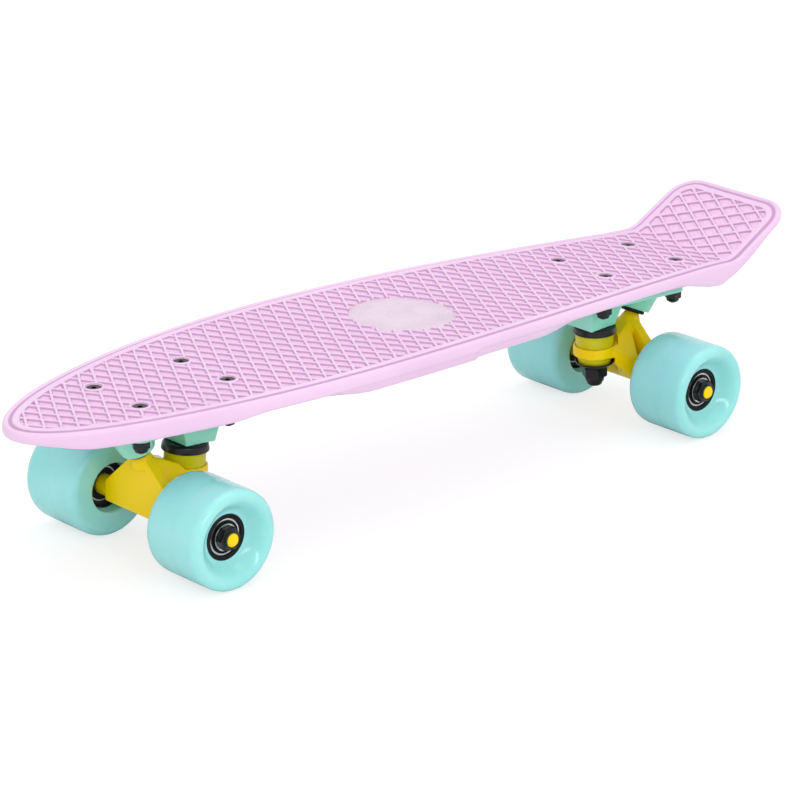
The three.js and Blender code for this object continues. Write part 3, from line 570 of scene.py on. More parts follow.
class Look:
    """A material with one Principled shader, whose even values are set by name."""

    def __init__(self, name, values):
        self.material = bpy.data.materials.new(name)
        self.material.use_nodes = True
        self.tree = self.material.node_tree
        self.shader = self.tree.nodes["Principled BSDF"]
        for socket, value in values.items():
            self.shader.inputs[socket].default_value = value
        self.place = self.node("TexCoord", output="Object")
        self.tint = None

    def node(self, kind, settings=None, inputs=None, output=0):
        made = self.tree.nodes.new("ShaderNode" + kind)
        for key, value in (settings or {}).items():
            setattr(made, key, value)
        for key, value in (inputs or {}).items():
            self.feed(made.inputs[key], value)
        return Value(self, made.outputs[output])

    def feed(self, socket, value):
        if isinstance(value, Value):
            self.tree.links.new(value.socket, socket)
        else:
            socket.default_value = value

    def noise(self, scale, detail=3.0):
        return self.node("TexNoise", {}, {"Vector": self.place, "Scale": scale, "Detail": detail})

    def blended(self, share, first, second):
        return self.node("Mix", {"data_type": "RGBA"}, {0: share, 6: first, 7: second}, output=2)

    def eased(self, value, low, high):
        settings = {"interpolation_type": "SMOOTHSTEP"}
        return self.node("MapRange", settings, {"Value": value, "From Min": low, "From Max": high})

    def bump(self, height, distance, strength):
        made = self.node("Bump", {}, {"Height": height, "Distance": distance, "Strength": strength})
        self.feed(self.shader.inputs["Normal"], made)

    def colour(self, value):
        self.feed(self.shader.inputs["Base Color"], value)

    def rough(self, value):
        self.feed(self.shader.inputs["Roughness"], value)


# A base for every look: cloudy tint between two near colours, uneven gloss and a fine grain.
def surface(name, light, dark, rough, values, cloud=18.0, grain=900.0, relief=0.00002, wear=0.05):
    look = Look(name, values)
    clouds = look.eased(look.noise(cloud), 0.35, 0.65)
    look.tint = look.blended(clouds, plain_light(light), plain_light(dark))
    look.colour(look.tint)
    look.rough(rough - wear / 2 + look.noise(cloud * 3, 4.0) * wear)
    look.bump(look.noise(grain, 2.0), relief, 0.6)
    return look


# The deck is painted lighter on its ridges than in the grainy cells between them: painted shade darkens the
# walls of the cells and of the groove by their depth.
def deck_surface():
    look = surface(
        "deck plastic", "#efceec", "#ebc8e8", 0.36,
        {"Coat Weight": 0.12, "Coat Roughness": 0.2, "Subsurface Weight": 0.08, "Subsurface Scale": 0.003,
         "Specular IOR Level": 0.4},
        cloud=9.0, relief=0.00003,
    )
    sunk = look.node("Attribute", {"attribute_name": "sunk"}, output="Fac")
    speckle = look.eased(look.noise(700.0, 4.0), 0.35, 0.65)
    low = look.blended(speckle, plain_light("#e8c2e4"), plain_light("#f2ceee"))
    # Painted shade: where the walls of the cells and of the groove lie between ridge and floor, the colour
    # runs to a dark #c8a0c6, and the floors take the grainy light colour.
    floor = look.eased(sunk, 0.86, 1)
    side = look.blended(floor, plain_light("#c8a0c6"), low)
    look.colour(look.blended(look.eased(sunk, 0.08, 0.45), look.tint, side))
    return look


deck_look = deck_surface()
medal_look = surface(
    "medallion plastic", "#e3cfdf", "#dbc6d7", 0.38,
    {"Coat Weight": 0.1, "Coat Roughness": 0.25}, cloud=40.0,
)
mint_look = surface(
    "mint paint", "#9ae9d0", "#93e3c9", 0.26,
    {"Coat Weight": 0.3, "Coat Roughness": 0.08, "Specular IOR Level": 0.35}, cloud=30.0, relief=0.00004,
)
yellow_look = surface(
    "yellow paint", "#ffdb00", "#fbd400", 0.24,
    {"Coat Weight": 0.16, "Coat Roughness": 0.06, "Specular IOR Level": 0.15}, cloud=28.0, relief=0.00005,
)
lime_look = surface(
    "lime urethane", "#d8d206", "#ccc504", 0.3,
    {"Subsurface Weight": 0.3, "Subsurface Scale": 0.004, "Coat Weight": 0.15, "Coat Roughness": 0.2,
     "Specular IOR Level": 0.3},
    cloud=60.0,
)
aqua_look = surface(
    "aqua urethane", "#9fe8e6", "#96e3e1", 0.16,
    {"Subsurface Weight": 0.35, "Subsurface Scale": 0.01, "Coat Weight": 0.3, "Coat Roughness": 0.05,
     "Specular IOR Level": 0.4},
    cloud=22.0, relief=0.00001, wear=0.04,
)
black_look = surface(
    "black steel", "#151316", "#0f0d10", 0.3,
    {"Coat Weight": 0.35, "Coat Roughness": 0.06, "Specular IOR Level": 0.25}, cloud=120.0, wear=0.12,
)
bright_look = surface(
    "bright steel", "#c3c5c8", "#aeb0b4", 0.22, {"Metallic": 1.0}, cloud=160.0, wear=0.14,
)
nylon_look = surface(
    "black nylon", "#1a191c", "#131214", 0.5, {"Specular IOR Level": 0.25}, cloud=90.0, wear=0.15,
)
looks = {
    "deck_plastic": deck_look,
    "mint_paint": mint_look,
    "yellow_paint": yellow_look,
    "lime_urethane": lime_look,
    "aqua_urethane": aqua_look,
    "black_steel": black_look,
    "bright_steel": bright_look,
    "black_nylon": nylon_look,
}


# Deck

# Points and directions of a curve through four control points.
def curve(points, count):
    a, b, c, d = (Vector(p) for p in points)
    for step in range(count + 1):
        share = step / count
        rest = 1 - share
        at = a * rest**3 + b * 3 * rest**2 * share + c * 3 * rest * share**2 + d * share**3
        along = (b - a) * rest**2 + (c - b) * 2 * rest * share + (d - c) * share**2
        yield at, along.normalized()


def straight(start, end):
    a, b = Vector(start), Vector(end)
    return a, a.lerp(b, 1 / 3), a.lerp(b, 2 / 3), b


# The outline from the nose tip along the left side to the tail's middle, then back along the right.
def outline():
    side, neck, tail = DECK_WIDTH / 2, NECK_WIDTH / 2, TAIL_WIDTH / 2
    corner = TAIL_CORNER * ROUND_SHARE
    corner_start = (TAIL_CORNER - TAIL_REACH, tail)
    corner_end = (-TAIL_REACH, tail - TAIL_CORNER)
    stretches = [
        ([(NOSE_REACH, 0), (NOSE_REACH, NOSE_FULLNESS), (WIDEST_AT + NOSE_RUN, side), (WIDEST_AT, side)],
         52),
        ([(WIDEST_AT, side), (WIDEST_AT - WAIST_RUN, side), (NECK_RUN - NECK_AT, neck + NECK_SWELL),
          (-NECK_AT, neck)], 88),
        (straight((-NECK_AT, neck), corner_start), 20),
        ([corner_start, (corner_start[0] - corner, tail), (-TAIL_REACH, corner_end[1] + corner), corner_end],
         12),
        (straight(corner_end, (-TAIL_REACH, 0)), 8),
    ]
    half = []
    for points, count in stretches:
        half.extend(list(curve(points, count))[1 if half else 0:])
    other = [(Vector((at.x, -at.y)), Vector((-along.x, along.y))) for at, along in half[-2:0:-1]]
    return half + other


# How deep the rail's wall reaches below the top face.
def rail_depth(along):
    tip = NOSE_REACH - NOSE_TAPER
    if along > tip:
        return mix(NOSE_RAIL, NOSE_TIP_RAIL, smooth_step(along, tip, NOSE_REACH))
    if along > 0:
        return mix(FRONT_WELL_RAIL, NOSE_RAIL, smooth_step(along, TRUCK_AT - BOLT_ALONG / 2, TRUCK_AT))
    to_bend = mix(REAR_WELL_RAIL, BEND_RAIL, smooth_step(-along, TRUCK_AT, BEND_RAIL_AT))
    to_tail = mix(to_bend, TAIL_RAIL, smooth_step(-along, BEND_RAIL_AT, TAIL_RAIL_AT))
    return mix(to_tail, TAIL_END_RAIL, smooth_step(-along, TAIL_RAIL_AT, TAIL_REACH - TAIL_CORNER))


def skirt_share(along):
    front = smooth_step(SKIRT_FRONT - along, 0, SKIRT_FRONT_RAMP)
    return front * smooth_step(along + SKIRT_REAR, 0, SKIRT_REAR_RAMP)


# The rail's section from the field's edge outwards and round to the underside: inset and height.
BORDER = [(9, 0), (7.6, 0.04), (6.6, 0.03), (6, -0.06), (5.6, -0.35), (5.3, -0.75), (4.95, -1.08),
          (4.5, -1.2), (4, -1.15), (3.6, -1), (3.2, -0.72), (2.8, -0.48), (2.4, -0.34), (1.95, -0.3),
          (1.5, -0.38), (1.1, -0.62), (0.75, -1), (0.42, -1.55), (0.15, -2.3)]


# The rail's foot follows a deeper dish than the top face does.
def rail_section(along, across):
    depth = rail_depth(along) - (RAIL_DISH - DISH_RISE) * (2 * across / DECK_WIDTH) ** 2
    foot = depth + SKIRT_DROP * skirt_share(along)
    wall = [(0.02, -mix(2.1, depth - 1.4, 0.33)), (0, -mix(2.1, depth - 1.4, 0.67)), (0.08, 1.4 - depth),
            (0.3, 0.6 - depth), (0.8, 0.1 - depth)]
    under = [(1.4, -mix(depth, foot, 0.3)), (2.2, -mix(depth, foot, 0.85)), (2.8, -foot), (4.5, -foot),
             (5, -mix(foot, SKIN, 0.1)), (5.4, -mix(foot, SKIN, 0.4)), (5.8, -mix(foot, SKIN, 0.85)),
             (6.5, -SKIN), (8, -SKIN)]
    return BORDER + wall + under


# Cuts geometry by upright planes that stand at places along X, or along Y where the planes face that way.
def sliced(bm, geom, normal, places):
    along = Vector((1, 0, 0)) if normal[0] else Vector((0, 1, 0))
    for place in places:
        cut = bmesh.ops.bisect_plane(bm, geom=geom, dist=1e-4, plane_co=along * place, plane_no=normal)
        geom = cut["geom"]
    return geom


def face_geometry(face):
    return [face, *face.edges, *face.verts]


# A side that the next inset would turn inside out is closed to a corner first.
def short_sides_closed(bm, cells):
    targets, used = {}, set()
    for edge in dict.fromkeys(edge for cell in cells for edge in cell.edges):
        first, second = edge.verts
        if edge.calc_length() < SHORTEST_SIDE and not used.intersection(edge.verts):
            targets[first] = second
            used.update(edge.verts)
    bmesh.ops.weld_verts(bm, targetmap=targets)
    return [cell for cell in cells if cell.is_valid]


def waffle(bm, field):
    geom = face_geometry(field)
    starts = [RIDGE_START + n * RIDGE_PITCH for n in range(-RIDGE_COUNT, RIDGE_COUNT)]
    for side in (1, -1):
        normal = (math.cos(RIDGE_LEAN), side * math.sin(RIDGE_LEAN), 0)
        geom = sliced(bm, geom, normal, starts)
    faces = [g for g in geom if isinstance(g, bmesh.types.BMFace)]
    reach = {f: 2 * f.calc_area() / f.calc_perimeter() for f in faces}
    whole = [f for f in faces if reach[f] > SMALLEST_CELL]
    corner = [f for f in faces if SMALLEST_CELL >= reach[f] > CORNER_CELL]
    for cells, share in ((whole, 1), (corner, CORNER_CELL / SMALLEST_CELL)):
        for thickness, depth in CELL_STEPS:
            cells = short_sides_closed(bm, cells)
            bmesh.ops.inset_individual(
                bm, faces=cells, thickness=thickness * share, depth=depth * share, use_even_offset=True
            )


def deck_shell():
    stations = outline()
    bm = bmesh.new()
    number = bm.verts.layers.int.new("station")
    ring = bmesh.ops.create_circle(bm, cap_ends=True, segments=len(stations), radius=1)["verts"]
    for i, vert in enumerate(ring):
        vert[number] = i
    bm.faces.ensure_lookup_table()
    field = bm.faces[0]
    edges = bm.edges[:]
    sections = [rail_section(at.x, at.y) for at, _ in stations]
    for level in range(len(sections[0])):
        if level:
            made = bmesh.ops.extrude_edge_only(bm, edges=edges)["geom"]
            ring = [g for g in made if isinstance(g, bmesh.types.BMVert)]
            fresh = set(ring)
            edges = [g for g in made if isinstance(g, bmesh.types.BMEdge) and fresh.issuperset(g.verts)]
        for vert in ring:
            at, along = stations[vert[number]]
            inset, height = sections[vert[number]][level]
            vert.co = (at.x - inset * along.y, at.y + inset * along.x, height)
    under = bmesh.ops.edgeloop_fill(bm, edges=edges)["faces"][0]
    geom = sliced(bm, face_geometry(under), (1, 0, 0), range(-UNDER_REACH, UNDER_REACH, UNDER_GRID))
    sliced(bm, geom, (0, 1, 0), range(-UNDER_SPREAD, UNDER_SPREAD + 1, UNDER_GRID))
    bmesh.ops.recalc_face_normals(bm, faces=bm.faces)
    waffle(bm, field)
    return bm


def bolt_places():
    x, y = BOLT_ALONG / 2, BOLT_ACROSS / 2
    return [(x, y), (x, -y), (-x, y), (-x, -y)]


# Flat places of the eight bolts on the deck.
def deck_bolt_places():
    run = BOLT_ALONG / 2 * math.cos(TRUCK_SLOPE)
    across = BOLT_ACROSS / 2
    return [(end * TRUCK_AT + i * run, j * across) for end in (1, -1) for i in (1, -1) for j in (1, -1)]


# How far each place of the flat top lies below the ridges, for the painted shade in the cells and the
# groove.
def mark_depth(bm):
    stations = outline()
    rim = KDTree(len(stations))
    for i, (at, _) in enumerate(stations):
        rim.insert((at.x, at.y, 0), i)
    rim.balance()
    sunk = bm.verts.layers.float.new("sunk")
    for vert in bm.verts:
        if vert.co.z > -DEEPEST_PAINTED_SHADE:
            inset = rim.find((vert.co.x, vert.co.y, 0))[2]
            vert[sunk] = min(max(-vert.co.z, 0) / CELL_DEPTH, 1) * smooth_step(inset, *PAINTED_SHADE_INSET)


def laid_on_deck(bm):
    for vert in bm.verts:
        vert.co = on_deck(vert.co)
    return bm


def deck_body():
    seat = rod(MEDALLION, -MEDALLION_SEAT, OVERRUN, TURN_STEPS)
    wells = [
        moved(rod(BOLT_RING, -BOLT_WELL, OVERRUN), Matrix.Translation((x, y, 0)))
        for x, y in deck_bolt_places()
    ]
    bm = combined(deck_shell(), joined(seat, *wells))
    mark_depth(bm)
    bends = [-TAIL_BEND_AT - TAIL_BEND_LENGTH * step / BEND_STEPS for step in range(BEND_STEPS + 1)]
    sliced(bm, bm.verts[:] + bm.edges[:] + bm.faces[:], (1, 0, 0), bends)
    return laid_on_deck(bm)


# One of the small beads in a ring on the medallion.
def medallion_bead(angle):
    bm = bmesh.new()
    bmesh.ops.create_uvsphere(bm, u_segments=8, v_segments=6, radius=1)
    bmesh.ops.scale(bm, vec=BEAD_SIZE, verts=bm.verts)
    return moved(bm, Matrix.Rotation(angle, 4, "Z"), Matrix.Translation((BEAD_RING, 0, -MEDALLION_DROP)))


# A disc with fine sunk lines round its middle and a ring of beads.
def medallion():
    outer = MEDALLION / 2 - HAIRLINE
    face = -MEDALLION_DROP
    low = face - RING_LINE_DEPTH
    profile = [(0, face)]
    for radius in MEDALLION_RINGS:
        profile += [(radius - RING_LINE, face), (radius - RING_LINE / 2, low)]
        profile += [(radius + RING_LINE / 2, low), (radius + RING_LINE, face)]
    profile += [(outer - 0.5, face), (outer, face - 0.3), (outer, -MEDALLION_SEAT)]
    beads = [medallion_bead(i * math.tau / BEAD_COUNT) for i in range(BEAD_COUNT)]
    return laid_on_deck(joined(turned(profile), *beads))


# The plain ring round a bolt's head, with the bolt's hole below it.
def bolt_ring(x, y):
    outer = BOLT_RING / 2 - HAIRLINE
    room = BOLT_HEAD / 2 + CLEARANCE
    hole = BOLT_HOLE / 2
    profile = [(room, -0.95), (room, -0.1, 0.3), (outer - 0.9, 0.14, 0.6), (outer, -0.35, 0.4),
               (outer, -BOLT_RING_SEAT), (hole, -BOLT_RING_SEAT), (hole, -3.2)]
    return laid_on_deck(moved(turned(profile, SMALL_STEPS, closed=True), Matrix.Translation((x, y, 0))))


def truck_pad():
    outline_points = rounded_rectangle(PAD_LENGTH, PAD_WIDTH, PAD_CORNER)
    pad = prism(outline_points, CLEARANCE, MOUNT_DROP - PAD_ROOT, -PAD_DRAFT)
    low = [e for e in pad.edges if all(abs(v.co.z - CLEARANCE) < 1e-4 for v in e.verts)]
    return bevelled(pad, PAD_EDGE, 3, low)


# Ribs under the deck between the trucks: two long ones and short ones across.
def deck_ribs():
    half, thick = RIB_LENGTH / 2, RIB_WIDTH / 2
    low, high = -RIB_DEPTH, RIB_ROOT - SKIN
    ends = [(-half, high), (half, high), (half - RIB_END_RUN, low), (RIB_END_RUN - half, low)]
    parts = []
    for middle in (-RIB_SPREAD / 2, RIB_SPREAD / 2):
        corners = [(x, y, z) for x, z in ends for y in (middle - thick, middle + thick)]
        parts.append(bevelled(hull(corners), RIB_EDGE))
    reach = DECK_WIDTH / 2 - CROSS_RIB_INSET
    for i in (-1, 0, 1):
        at = i * CROSS_RIB_SPACING
        parts.append(block((at - thick, -reach, low), (at + thick, reach, high), RIB_EDGE))
    bm = joined(*parts)
    for vert in bm.verts:
        vert.co.z += DECK_TOP - ARCH * vert.co.x**2
    return bm


def make_deck():
    def add(name, bm, place, look=deck_look, sharp=SHARP):
        show(name, bm, look, "board", ("deck",), place, sharp)

    whole = Matrix.Identity(4)
    add("deck_body", deck_body(), whole, sharp=DECK_SHARP)
    add("medallion", medallion(), whole, medal_look)
    add("bolt_rings", joined(*(bolt_ring(x, y) for x, y in deck_bolt_places())), whole)
    add("deck_ribs", deck_ribs(), whole)
    for end in ("front", "rear"):
        add(end + "_pad", truck_pad(), truck_frame(end))


# Fasteners

# A hexagon whose corners are rounded off by a turned cone at both faces.
def hex_blank(across, low, high):
    beyond = across / math.sqrt(3) + 1
    trim = across / 2 - 0.1
    cone = turned([(0, low), (trim, low), (beyond, low + HEX_CHAMFER), (beyond, high - HEX_CHAMFER),
                   (trim, high), (0, high)], SMALL_STEPS)
    return combined(prism(hexagon(across), low, high), cone, "INTERSECT")


# A lock nut: hexagon, then a round collar with its nylon ring, hanging from z = 0.
def lock_nut(across, height, collar, collar_height, bolt):
    bore, outer = bolt / 2 + NUT_PLAY, collar / 2
    middle, end = -height / 2, -height - collar_height
    hexed = hex_blank(across, -height, 0)
    ring = turned([(bore, middle), (bore, end + 0.5, 0.3), (bore + 0.5, end, 0.3), (outer - 0.6, end, 0.5),
                   (outer, -height - 0.3, 0.4), (outer, middle)], SMALL_STEPS, closed=True)
    return joined(combined(hexed, rod(2 * bore, end - 1, 1)), ring)


# A rod with thread rings over a stretch and a bevelled tip, from one height to another.
def threaded(diameter, low, high, thread_low, thread_high, pitch, tip, depth):
    radius = diameter / 2
    points = [(0, low), (radius - tip, low, 0.2), (radius, low + tip)]
    for i in range(int((thread_high - thread_low) / pitch)):
        at = thread_low + i * pitch
        points += [(radius, at + 0.2 * pitch), (radius - depth, at + 0.5 * pitch)]
        points += [(radius, at + 0.8 * pitch)]
    points += [(radius, high), (0, high)]
    return turned(points, SMALL_STEPS)


def mount_bolt():
    top = MOUNT_DROP - BOLT_HEAD_SINK
    end = -PLATE_THICKNESS - CLEARANCE - MOUNT_NUT_HEIGHT - MOUNT_COLLAR_HEIGHT - BOLT_PROUD
    shank = threaded(BOLT_SHANK, end, top - 2, end + 0.6, 4 - PLATE_THICKNESS, BOLT_PITCH, 0.6, 0.25)
    foot, rim = top - BOLT_HEAD_HEIGHT, BOLT_HEAD / 2
    profile = [(0, foot), (rim / 2, foot), (rim, top - 0.35, 0.2), (rim - 0.15, top, 0.15), (0, top)]
    head = turned(profile, SMALL_STEPS)
    socket = prism(hexagon(BOLT_SOCKET), top - BOLT_SOCKET_DEPTH, top + 1)
    return joined(shank, combined(head, socket))


# Truck pieces, in the truck's frame

def baseplate():
    outline_points = rounded_rectangle(PLATE_LENGTH, PLATE_WIDTH, PLATE_CORNER)
    plate = prism(outline_points, -PLATE_THICKNESS, -0.2, PLATE_DRAFT)
    rise = -BOSS_SEAT.z - PLATE_THICKNESS / 2
    boss = hull([(x, y, 0) for x, y in BOSS_FOOT] + [(x, y, rise) for x, y in BOSS_ROOT])
    rise = (-PIVOT_MOUTH.z - PLATE_THICKNESS / 2) / math.cos(PIVOT_TILT)
    housing = turned([(0, 0), (HOUSING / 2, 0), (HOUSING_ROOT / 2, rise), (0, rise)], SMALL_STEPS)
    shell = cast(plate, moved(boss, ON_KINGPIN), moved(housing, ON_PIVOT), block(*PLATE_RIB))
    holes = [moved(rod(BOLT_HOLE, -9, OVERRUN), Matrix.Translation((x, y, 0))) for x, y in bolt_places()]
    cup = rod(CUP + 2 * CLEARANCE, -4, CUP_DEPTH + CLEARANCE)
    pin = rod(KINGPIN_BORE, -4, 30)
    pocket = prism(hexagon(KINGPIN_HEAD + 2 * CLEARANCE), KINGPIN_HEAD_SEAT, 40)
    level = block((-60, -50, -0.05), (60, 50, 40))
    shell = combined(shell, joined(*holes, moved(cup, ON_PIVOT)))
    shell = combined(shell, moved(pin, ON_KINGPIN))
    shell = combined(shell, moved(pocket, ON_KINGPIN))
    return combined(shell, level)


def pivot_cup():
    wall, flange, mouth = CUP / 2, CUP_FLANGE / 2, CUP_MOUTH / 2
    top = -CLEARANCE
    foot = top - CUP_FLANGE_THICKNESS
    profile = [(0, CUP_DEPTH), (wall, CUP_DEPTH, 0.8), (wall, top), (flange, top, 0.3), (flange, foot, 0.7),
               (mouth, foot, 0.5), (4.9, 1.5), (4.7, 4), (3.6, 7), (0, 8.7)]
    return turned(profile, SMALL_STEPS)


def kingpin():
    foot = KINGPIN_HEAD_SEAT + CLEARANCE
    head = hex_blank(KINGPIN_HEAD, foot, foot + KINGPIN_HEAD_HEIGHT)
    end = NUT_AT[1] - KINGPIN_PROUD
    thread = end + 0.7
    shank = threaded(KINGPIN, end, 10, thread, thread + KINGPIN_THREAD, KINGPIN_PITCH, 1.0, 0.4)
    return joined(shank, head)


def boardside_washer():
    bore, rim = KINGPIN_BORE / 2, BOARDSIDE_WASHER / 2
    top, web = UPPER_WASHER_AT
    foot = top - BOARDSIDE_WASHER_DEPTH
    profile = [(bore, web, 0.3), (bore, top, 0.3), (rim - 1.6, top, 0.9), (rim - 0.6, top - 0.8, 0.8),
               (rim, foot + 0.9, 0.5), (rim - 0.1, foot, 0.35), (rim - 0.8, foot, 0.35),
               (rim - 1.3, web - 1.6, 0.5), (rim - 1.8, web, 0.6)]
    return turned(profile, closed=True)


def roadside_washer():
    bore, rim = KINGPIN_BORE / 2, ROADSIDE_WASHER / 2
    web, low = LOWER_WASHER_AT
    profile = [(bore, low, 0.3), (rim - 4.3, low, 0.8), (rim - 0.4, low + 2.6, 0.7), (rim, low + 3.9, 0.4),
               (rim - 0.6, low + 4.1, 0.3), (rim - 1.8, low + 2, 0.6), (rim - 3.5, web, 0.6),
               (bore, web, 0.3)]
    return turned(profile, closed=True)


def boardside_bushing():
    bore, side = KINGPIN_BORE / 2, BUSHING / 2
    top, foot = UPPER_BUSHING_AT
    profile = [(bore, foot), (side - 1, foot, 0.4), (side - 0.1, foot + 0.7, 0.6), (side, foot + 6.4, 3),
               (side - 0.1, top - 0.8, 0.6), (side - 1, top, 0.4), (bore, top)]
    return turned(profile, closed=True)


def roadside_bushing():
    bore, side = KINGPIN_BORE / 2, ROADSIDE_BUSHING / 2
    top, foot = LOWER_BUSHING_AT
    profile = [(bore, foot), (side - 1.8, foot, 0.5), (side - 0.8, foot + 0.8, 0.7), (side, top - 1.9, 1.2),
               (side, top, 0.3), (bore, top)]
    return turned(profile, closed=True)


# The stem from the hanger's face up to the ball in the pivot cup, from the cup's mouth.
def hanger_stem():
    foot = PIVOT_MOUTH.z - FACE_TOP - AXLE_PLACE.z
    profile = [(0, -foot - STEM_SINK), (7.6, -foot - STEM_SINK), (6.4, -foot, 2), (4.3, -2.2, 1), (3.6, 1.6),
               (4.2, 2.8), (4.4, 4), (4.1, 5.6), (3, 7.2), (0, 8.4)]
    return moved(turned(profile, SMALL_STEPS), ON_PIVOT)


def hanger():
    x, _, z = AXLE_PLACE
    half, narrow = BEAM_WIDTH / 2, FACE_TOP_WIDTH / 2
    face_points = [(-half, -BEAM_BELOW), (half, -BEAM_BELOW), (half, BEAM_ABOVE), (narrow, FACE_TOP),
                   (-narrow, FACE_TOP), (-half, BEAM_ABOVE)]
    depths = (-FACE_BACK, BEAM_FRONT)
    face = hull([(x + depth, across, z + up) for across, up in face_points for depth in depths])
    bar = block((x - BEAM_BACK, -half, z - BEAM_BELOW), (x + BEAM_FRONT, half, z + BEAM_ABOVE))
    web_top, web_foot = WEB_AT
    ring_top, ring_foot = web_top + RING_LIP, web_foot - RING_LIP
    ring = rod(RING, ring_foot, ring_top, TURN_STEPS)
    tall = (ring_top - ring_foot) / 2
    centre = ON_KINGPIN @ Vector((0, 0, (ring_top + ring_foot) / 2))
    yoke_points = []
    for side in (-1, 1):
        yoke_points += [(centre.x, side * YOKE_WIDTH / 2, centre.z + up) for up in (-tall, tall)]
        foot_side = side * YOKE_FOOT_WIDTH / 2
        yoke_points += [(x - BEAM_BACK, foot_side, z + up) for up in (-BEAM_BELOW, BEAM_ABOVE)]
        yoke_points += [(x + out, side * YOKE_TOP_WIDTH / 2, z + FACE_TOP) for out in (-FACE_BACK, 0)]
    yoke = hull(yoke_points)
    shoulder = rod(SHOULDER, -SHOULDER_REACH, SHOULDER_REACH, TURN_STEPS)
    body = cast(
        face, bar, moved(ring, ON_KINGPIN), yoke, hanger_stem(),
        moved(shoulder, Matrix.Translation(AXLE_PLACE), ALONG_AXLE), soft=18,
    )
    seat = BUSHING / 2 + CLEARANCE
    cuts = [
        turned([(0, web_top), (seat, web_top, 0.3), (seat, 2), (0, 2)]),
        rod(RING_ROOM, ring_top, 4, TURN_STEPS),
        turned([(0, -45), (seat, -45), (seat, web_foot, 0.3), (0, web_foot)]),
        rod(RING_ROOM, -45, ring_foot, TURN_STEPS),
        rod(RING_BORE, -45, 2, TURN_STEPS),
    ]
    for cut in cuts:
        body = combined(body, moved(cut, ON_KINGPIN))
    return body


# Wheel pieces, round +Z with the outer face up, from the middle of the wheel

def both_sides(shown, inner):
    return turned(shown + [(point[0], -point[1], *point[2:]) for point in reversed(inner)], closed=True)


# The steel of a ball bearing: an outer race and an inner race.
def bearing_races():
    rim, bore, half = BEARING / 2, BEARING_BORE / 2, BEARING_WIDTH / 2
    outer_bore, inner_rim = rim - OUTER_RACE_WALL, bore + INNER_RACE_WALL
    outer = turned([(outer_bore, -half, 0.2), (rim, -half, 0.4), (rim, half, 0.4), (outer_bore, half, 0.2)],
                   closed=True)
    inner = turned([(bore, -half, 0.2), (inner_rim, -half, 0.2), (inner_rim, half, 0.2), (bore, half, 0.2)],
                   SMALL_STEPS, closed=True)
    return joined(outer, inner)


def bearing_seal():
    profile = [(6.2, -2.9), (9.5, -2.9), (9.5, 2.8, 0.2), (9, 3, 0.2), (8.2, 2.7, 0.2), (7, 2.9, 0.2),
               (6.2, 2.6)]
    return turned(profile, closed=True)


def speed_washer():
    bore, rim, top = AXLE / 2 + CLEARANCE, SPEED_WASHER / 2, SPEED_WASHER_THICKNESS
    profile = [(bore, 0, 0.1), (rim, 0, 0.15), (rim, top, 0.15), (bore, top, 0.1)]
    return turned(profile, SMALL_STEPS, closed=True)


# An axle's two threaded halves, each from its tip to the middle.
def axle_rod():
    tip = -AXLE_REACH
    half = threaded(AXLE, tip, 0, tip + 0.8, tip + AXLE_THREAD, 1.0, 0.9, 0.3)
    return joined(half.copy(), moved(half, Matrix.Rotation(math.pi, 4, "X")))


def make_truck(end, shapes):
    place = truck_frame(end)
    truck = end + "_truck"

    def add(name, shape, slot, body, at, nodes=None, sharp=SHARP):
        node = end + "_" + name
        show(node, shapes[shape].copy(), looks[slot], body, nodes or (node,), place @ at, sharp)

    add("baseplate", "baseplate", "mint_paint", "board", Matrix.Identity(4), sharp=CAST_SHARP)
    add("pivot_cup", "pivot_cup", "black_nylon", "board", ON_PIVOT)
    add("kingpin", "kingpin", "black_steel", "board", ON_KINGPIN)
    nut_seat = ON_KINGPIN @ Matrix.Translation((0, 0, NUT_AT[0]))
    add("kingpin_nut", "kingpin_nut", "black_steel", "board", nut_seat)
    for name, slot in (("boardside_washer", "black_steel"), ("roadside_washer", "black_steel"),
                       ("boardside_bushing", "lime_urethane"), ("roadside_bushing", "lime_urethane")):
        add(name, name, slot, "board", ON_KINGPIN)
    on_axle = Matrix.Translation(AXLE_PLACE)
    add("hanger", "hanger", "yellow_paint", truck, Matrix.Identity(4), sharp=CAST_SHARP)
    add("axle", "axle", "yellow_paint", truck, on_axle @ ALONG_AXLE)
    for i, (x, y) in enumerate(bolt_places()):
        on_top = Matrix.Translation((x, y, DISH * y * y - ARCH * x * x))
        below = Matrix.Translation((x, y, -PLATE_THICKNESS - CLEARANCE))
        add(f"mount_bolt_{i + 1}", "mount_bolt", "black_steel", "board", on_top)
        add(f"mount_nut_{i + 1}", "mount_nut", "black_steel", "board", below)
    left = 1 if end == "front" else -1
    for name, side in (("left", left), ("right", -left)):
        body = f"{end}_{name}_wheel_set"
        outward = Matrix.Rotation(-side * math.pi / 2, 4, "X")
        middle = on_axle @ Matrix.Translation((0, side * WHEEL_SPREAD / 2, 0)) @ outward
        wheel_node = (f"{end}_{name}_wheel",)
        add(name + "_wheel", "wheel", "aqua_urethane", body, middle, sharp=WHEEL_SHARP)
        add(name + "_wheel_core", "core", "black_nylon", body, middle, nodes=wheel_node)
        for where, reach, turn in (("outer", BEARING_REACH, 0), ("inner", -BEARING_REACH, math.pi)):
            at = middle @ Matrix.Translation((0, 0, reach)) @ Matrix.Rotation(turn, 4, "X")
            node = (f"{end}_{name}_{where}_bearing",)
            add(f"{name}_{where}_races", "races", "bright_steel", body, at, nodes=node)
            add(f"{name}_{where}_seal", "seal", "black_nylon", body, at, nodes=node)
        washer = middle @ Matrix.Translation((0, 0, SPEED_WASHER_AT))
        nut = middle @ Matrix.Translation((0, 0, AXLE_NUT_AT)) @ Matrix.Rotation(math.pi, 4, "X")
        add(name + "_speed_washer", "speed_washer", "bright_steel", truck, washer)
        add(name + "_axle_nut", "axle_nut", "black_steel", truck, nut)


